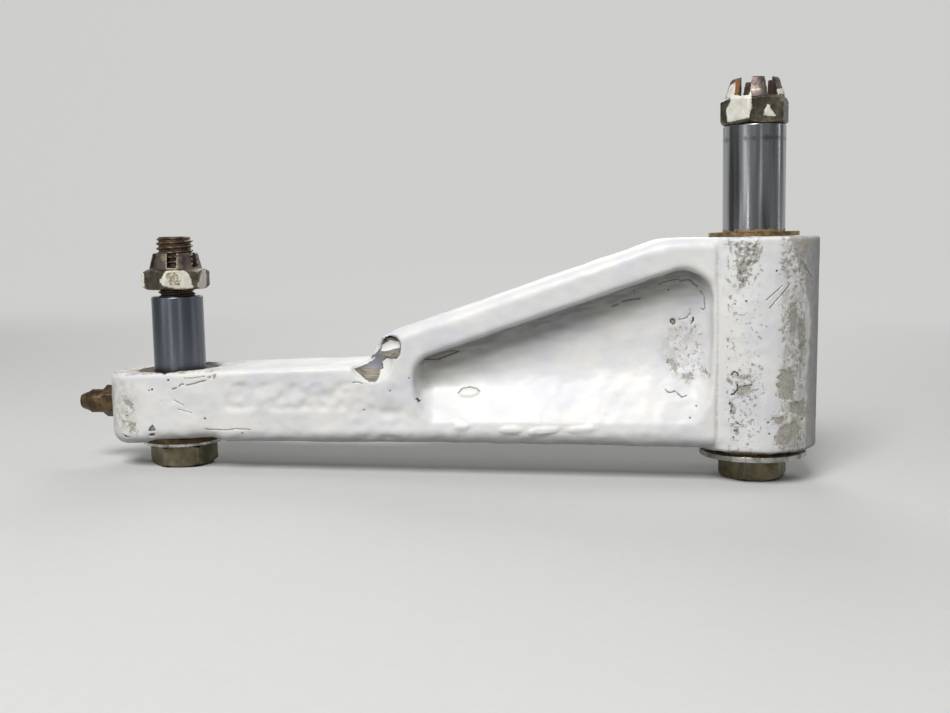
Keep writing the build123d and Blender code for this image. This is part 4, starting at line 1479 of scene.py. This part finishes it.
@dataclass
class WornSteel:
    """A nut, a bolt's head or a fitting, its edges worn round, with old paint and rust on its front."""

    node: str
    name: str
    axis: Vector = field(default_factory=lambda: HINGE_AXIS.copy())
    across: tuple[float, float] = (1.0, 0.0)
    flats_top: float = 0.0
    voxel: float = 0.16
    keep: tuple[float, float] | None = None
    cream: tuple[Mark, ...] = ()
    gold: tuple[Mark, ...] = ()
    rust: tuple[Mark, ...] = ()
    glint: tuple[Mark, ...] = ()
    triangles: int = 60_000

    def laid_flat(self, p: np.ndarray) -> np.ndarray:
        """How far across the piece each point of its front lies, and FAR for those behind."""
        x, y = p[:, 0] - self.axis.x, p[:, 1] - self.axis.y
        facing = self.across[1] * x - self.across[0] * y
        return np.where(facing > 0, self.across[0] * x + self.across[1] * y, FAR)

    def build(self, finish: bpy.types.Material) -> bpy.types.Object:
        """Builds the piece with the fields that its finish reads."""
        mesh = remeshed(self.node, self.voxel, self.keep)
        p, n = coordinates(mesh), directions(mesh)
        bumps = 0.05 * ripple(p, 1.6, 11) + 0.03 * ripple(p, 0.7, 12)
        edge = nearest(self.cream, self.laid_flat(p), p[:, 2]) + 0.3 * ripple(p, 1.2, 13)
        coat = 0.1 * ramp(edge, 0.1, -0.2)
        move_vertices(mesh, p + n * (bumps + coat - 0.04)[:, None])
        mesh = thinned(mesh, self.triangles)
        p = coordinates(mesh)
        s, z = self.laid_flat(p), p[:, 2]
        for name, marks in (("paint", self.cream), ("gold", self.gold), ("rust", self.rust)):
            store(mesh, name, nearest(marks, s, z))
        worn = ramp(-hollows(mesh, 2), 0.015, 0.06)
        # edge: rubbed edges, and the glint marks as painted highlights
        store(mesh, "edge", np.maximum(worn, ramp(nearest(self.glint, s, z), 0.1, -0.1)))
        store(mesh, "flats", ramp(z, self.flats_top + 0.3, self.flats_top - 0.3))
        smooth(mesh, 50)
        return put(self.name, mesh, finish)


@dataclass
class PinStack:
    """One pin: its bolt, nut, sleeve, washer and the two bushings that it runs in."""

    pin: Pin
    axis: Vector
    across: tuple[float, float]
    thread_bottom: float
    hexagon_top: float
    cream: tuple[Mark, ...]
    gold: tuple[Mark, ...] = ()
    rust: tuple[Mark, ...] = ()
    glint: tuple[Mark, ...] = ()
    shank_radius: float = 3.97
    oil_film: float = 0.02
    made: list[bpy.types.Object] = field(default_factory=list)

    def node(self, part: str) -> str:
        """Full name of one of this pin's solids."""
        return f"{self.pin.value}_{part}"

    def body_of(self, part: str) -> str:
        """The body that one of this pin's solids moves with."""
        ends = {
            "bolt": "through_bolt",
            "nut": "through_bolt",
            "sleeve": "sleeve_tube",
            "washer": "washer_ring",
        }
        return self.node(ends[part]) if part in ends else "link"

    def keep(self, piece: bpy.types.Object, part: str, slot: str, replaced: bool = True) -> None:
        """Hangs a piece on its body and lets it stand for its solid.

        Args:
            piece: The piece.
            part: Which of the pin's solids it belongs to.
            slot: The record's material slot; not used.
            replaced: Whether it stands for that solid.
        """
        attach(piece, self.body_of(part))
        if replaced:
            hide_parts(self.node(part))
        self.made.append(piece)

    def tube(self, part: str, inner: float, edge: float, finish: bpy.types.Material, slot: str) -> None:
        """Turns a sleeve or washer anew, finer than its solid.

        Args:
            part: Which solid it stands for.
            inner: Radius of its bore in millimetres.
            edge: Size of its rounded edges.
            finish: Its finish.
            slot: The record's material slot.
        """
        low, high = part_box(self.node(part))
        outer = (high.y - low.y) / 2 / MM
        bottom, top = low.z / MM + self.oil_film, high.z / MM
        profile = [(inner, bottom), (outer - edge, bottom)]
        for step in range(1, 5):
            angle = math.radians(90 * step / 4)
            profile.append((outer - edge + edge * math.sin(angle), bottom + edge - edge * math.cos(angle)))
        for step in range(5):
            angle = math.radians(90 * step / 4)
            profile.append((outer - edge + edge * math.cos(angle), top - edge + edge * math.sin(angle)))
        profile.append((inner, top))
        self.keep(put(self.node(part) + "_turned", lathe(profile, self.axis), finish), part, slot)

    def bushing(self, part: str, tube_radius: float, bore: float, finish: bpy.types.Material) -> None:
        """Turns a flanged bushing anew.

        Args:
            part: Which solid it stands for.
            tube_radius: Radius of its tube in millimetres.
            bore: Radius of its bore.
            finish: Its finish.
        """
        low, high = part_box(self.node(part))
        flange = (high.y - low.y) / 2 / MM
        bottom, top = low.z / MM, high.z / MM
        thick, soft = 1.0, 0.12
        if "lower" in part:
            start, way = bottom, 1
        else:
            start, way = top, -1
        profile = [
            (bore + 0.2, start),
            (flange - soft, start),
            (flange, start + way * soft),
            (flange, start + way * (thick - soft)),
            (flange - soft, start + way * thick),
            (tube_radius, start + way * thick),
            (tube_radius, start + way * (top - bottom)),
            (bore, start + way * (top - bottom)),
            (bore, start + way * 0.2),
        ]
        self.keep(put(self.node(part) + "_turned", lathe(profile, self.axis), finish), part, "bronze")

    def build(self, finishes: dict[str, bpy.types.Material]) -> list[bpy.types.Object]:
        """Builds every piece of the pin.

        Args:
            finishes: The materials by name.

        Returns:
            The pieces.
        """
        foot, top = span_of(self.node("bolt"))
        head = WornSteel(self.node("bolt"), self.node("bolt_head"), keep=(foot - 1, foot + 5.6))
        self.keep(head.build(finishes["bolt_head"]), "bolt", "bolt_steel")
        thread = ThreadedEnd(self.node("bolt")).build(self.axis, self.thread_bottom, top, finishes["thread"])
        self.keep(thread, "bolt", "bolt_steel", replaced=False)
        low, high = foot + 5.0, self.thread_bottom + 0.1
        bar = [(0.0, low), (self.shank_radius, low), (self.shank_radius, high), (0.0, high)]
        shank = put(self.node("bolt_shank"), lathe(bar, self.axis, 48), finishes["thread"])
        self.keep(shank, "bolt", "bolt_steel", replaced=False)
        nut = WornSteel(
            self.node("nut"),
            self.node("nut_worn"),
            axis=self.axis,
            across=self.across,
            flats_top=self.hexagon_top,
            cream=self.cream,
            gold=self.gold,
            rust=self.rust,
            glint=self.glint,
        )
        self.keep(nut.build(finishes["nut"]), "nut", "nut_steel")
        sleeve_slot = "bright_sleeve" if self.pin is Pin.HINGE else "grey_sleeve"
        self.tube("sleeve", 4.02, 0.35, finishes[self.node("sleeve")], sleeve_slot)
        self.tube("washer", 4.12, 0.2, finishes["washer"], "washer_steel")
        tube_radius, bore = (7.94, 6.39) if self.pin is Pin.HINGE else (7.14, 5.6)
        for part in ("bushing_lower", "bushing_upper"):
            self.bushing(part, tube_radius, bore, finishes[self.node("bronze")])
        return self.made


@dataclass
class GreaseFitting:
    """The grease fitting in the knee block's end, with its ball and spring."""

    voxel: float = 0.1
    triangles: int = 50_000

    def build(self, finish: bpy.types.Material, steel: bpy.types.Material) -> list[bpy.types.Object]:
        """Dresses the fitting.

        Args:
            finish: Finish of its body.
            steel: Finish of its ball and spring.

        Returns:
            The new pieces; the ball and spring keep their solids.
        """
        worn = WornSteel("grease_fitting", "grease_fitting_worn", voxel=self.voxel, triangles=self.triangles)
        piece = worn.build(finish)
        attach(piece, "link")
        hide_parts("grease_fitting")
        for node in ("grease_fitting_ball", "grease_fitting_spring"):
            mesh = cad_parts[node].data
            mesh.materials.clear()
            mesh.materials.append(steel)
        return [piece]


@dataclass(frozen=True)
class Lamp:
    """A soft lamp: where it hangs, the point it faces, its width and height, and its power."""

    name: str
    place: tuple[float, float, float]
    aim: tuple[float, float, float]
    size: tuple[float, float]
    watts: float

    def hang(self) -> None:
        """Hangs the lamp in the scene."""
        light = bpy.data.lights.new(self.name, "AREA")
        light.shape = "RECTANGLE"
        light.size, light.size_y = self.size[0] * MM, self.size[1] * MM
        light.energy = self.watts
        lamp = linked(self.name, light)
        lamp.location = Vector(self.place) * MM
        lamp.rotation_euler = (Vector(self.aim) - Vector(self.place)).to_track_quat("-Z", "Y").to_euler()


@dataclass
class Studio:
    """Pale floor that runs up into a wall, soft lamps, and the camera at the photograph's angle."""

    slope: float = 2.74 / 124.7
    touch: float = 7.0
    floor_ends: tuple[float, float] = (-1800.0, 1700.0)
    room: str = "E2E3E4"
    room_strength: float = 0.13
    room_seen: float = 0.3
    image_width: float = 950.0
    sensor: float = 36.0
    lamps: tuple[Lamp, ...] = (
        Lamp("key", (-150, -500, 590), (-60, 0, 25), (330, 330), 5.3),
        Lamp("fill", (-480, -420, 260), (-70, 0, 25), (300, 300), 0.24),
        Lamp("rim", (420, 160, 420), (-20, 0, 30), (260, 260), 0.3),
        Lamp("back", (-60, 380, 300), (-60, 0, 25), (260, 260), 0.75),
        Lamp("strip_left", (-395, -247, 95), (0, 0, 60), (24, 190), 0.03),
        Lamp("strip_middle", (-230, -400, 95), (0, 0, 60), (30, 190), 0.055),
        Lamp("strip_right", (128, -448, 95), (0, 0, 60), (44, 190), 0.055),
        Lamp("strip_far_right", (465, 33, 95), (0, 0, 60), (30, 190), 0.05),
    )

    def floor(self, finish: bpy.types.Material) -> None:
        """Lays the floor under both bolt heads, with a soft curve up to the wall."""
        front, back, bend, wall = -1500.0, 420.0, 260.0, 1400.0
        line = [(front, 0.0), (back, 0.0)]
        for step in range(1, 17):
            angle = math.radians(90 * step / 16)
            line.append((back + bend * math.sin(angle), bend - bend * math.cos(angle)))
        line.append((back + bend, wall))
        mesh = bpy.data.meshes.new("floor")
        with editing(mesh) as edit:
            rows = []
            for x in self.floor_ends:
                lift = -self.slope * (x + self.touch)
                rows.append([edit.verts.new(Vector((x, y, z + lift)) * MM) for y, z in line])
            for low, high in zip(zip(rows[0], rows[0][1:]), zip(rows[1], rows[1][1:])):
                edit.faces.new((low[0], high[0], high[1], low[1]))
        mesh.shade_smooth()
        put("floor", mesh, finish)

    def world(self) -> None:
        """Fills the room with even pale light."""
        world = bpy.data.worlds.new("room")
        world.use_nodes = True
        tree = world.node_tree
        tree.nodes.clear()
        seen = seen_share(tree)
        strength = add(tree, BAND, {0: seen, 3: self.room_strength, 4: self.room_seen})
        back = add(tree, "ShaderNodeBackground", {"Color": self.room, "Strength": strength})
        add(tree, "ShaderNodeOutputWorld", {"Surface": back})
        bpy.context.scene.world = world

    def camera(self) -> None:
        """Stands the camera where the photograph was taken from."""
        data = bpy.data.cameras.new("camera")
        data.sensor_width = self.sensor
        data.lens = SIGHT.focal_pixels / self.image_width * self.sensor
        data.clip_start = 0.01
        data.clip_end = 20.0
        eye = linked("camera", data)
        across, upward = SIGHT.rolled(Vector(SIGHT.right), Vector(SIGHT.up))
        back = -Vector(SIGHT.forward)
        place = Matrix((across, upward, back)).transposed().to_4x4()
        place.translation = Vector(SIGHT.place) * MM
        eye.matrix_world = place
        bpy.context.scene.camera = eye

    def build(self, finish: bpy.types.Material) -> None:
        """Sets up the floor, the lamps, the room's light and the camera."""
        self.floor(finish)
        self.world()
        self.camera()
        for lamp in self.lamps:
            lamp.hang()
        bpy.context.scene.view_settings.view_transform = "Standard"


def finishes() -> dict[str, bpy.types.Material]:
    """Builds every finish.

    Returns:
        The materials by the name that the classes ask for.
    """
    chrome = WornSleeve(
        "polished_hard_chrome",
        steel="AAABAE",
        smear_and_reflection="4E4F52",
        rust="9A8058",
        rust_bottom=51.0,
        rust_top=54.2,
        band_z=70.2,
        band=0.6,
        smear_and_reflection_share=0.85,
        roughness=0.17,
    )
    blued = WornSleeve(
        "ground_blued_steel",
        steel="6F747C",
        smear_and_reflection="4A4E55",
        rust="5A4A3A",
        rust_bottom=20.0,
        rust_top=24.5,
        band_z=31.0,
        band=0.0,
        smear_and_reflection_share=0.45,
        roughness=0.24,
    )
    stained = PaintedSteel("stained_bolt_head", crown="5A5440", flats="5A5440", worn="8C866E")
    brass = PaintedSteel("brass_plated_fitting", crown="4A3B2E", flats="4A3B2E", worn="7C654A")
    return {
        "enamel": ChippedEnamel("brushed_white_enamel").build(),
        "hinge_sleeve": chrome.build(),
        "knee_sleeve": blued.build(),
        "nut": PaintedSteel("plated_nut_with_old_paint").build(),
        "bolt_head": stained.build(),
        "fitting": brass.build(),
        "thread": StainedMetal("rusty_rolled_thread", "50483F", "776A5A", "6E482C", 1.0, 0.38).build(),
        "washer": StainedMetal("zinc_plated_washer", "C9C8C2", "8F8D86", "5D554A", 3.0, 0.22, 1.0).build(),
        "hinge_bronze": StainedMetal("rusty_bronze_flange", "9A8A66", "6E5A3C", "7A4A26", 1.0, 0.35).build(),
        # the knee's bronze is dark worn metal, and darker still as painted shade for the lower flange, which
        # sits in shadow
        "knee_bronze": StainedMetal("dark_bronze_flange_and_painted_shade", "54452F", "3A3226", "6A4526", 1.4, 0.38).build(),
        "steel": StainedMetal("bright_spring_steel", "9A9A98", "707070", "5A5046", 0.5, 0.3).build(),
        "paper": StudioPaper("matt_studio_paper").build(),
    }


def main() -> None:
    """Builds the whole link in order and reports each piece."""
    logging.basicConfig(level=logging.INFO, format="%(message)s")
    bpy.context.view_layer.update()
    finish = finishes()
    skin = Casting().build(finish["enamel"])
    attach(skin, "link")
    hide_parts("link_casting")
    pieces = [skin]
    hinge = PinStack(
        Pin.HINGE,
        HINGE_AXIS,
        across=(0.990, -0.144),
        thread_bottom=68.0,
        hexagon_top=78.5,
        cream=HINGE_NUT_CREAM,
        rust=HINGE_NUT_RUST,
        glint=HINGE_NUT_GLINT,
    )
    knee = PinStack(
        Pin.KNEE,
        KNEE_AXIS,
        across=(0.933, 0.360),
        thread_bottom=36.0,
        hexagon_top=45.8,
        cream=KNEE_NUT_CREAM,
        gold=KNEE_NUT_GOLD,
    )
    for stack in (hinge, knee):
        pieces += stack.build(finish)
    pieces += GreaseFitting().build(finish["fitting"], finish["steel"])
    Studio().build(finish["paper"])
    for piece in pieces:
        log.info("%s: %d faces", piece.name, len(piece.data.polygons))


if __name__ == "__main__":
    main()
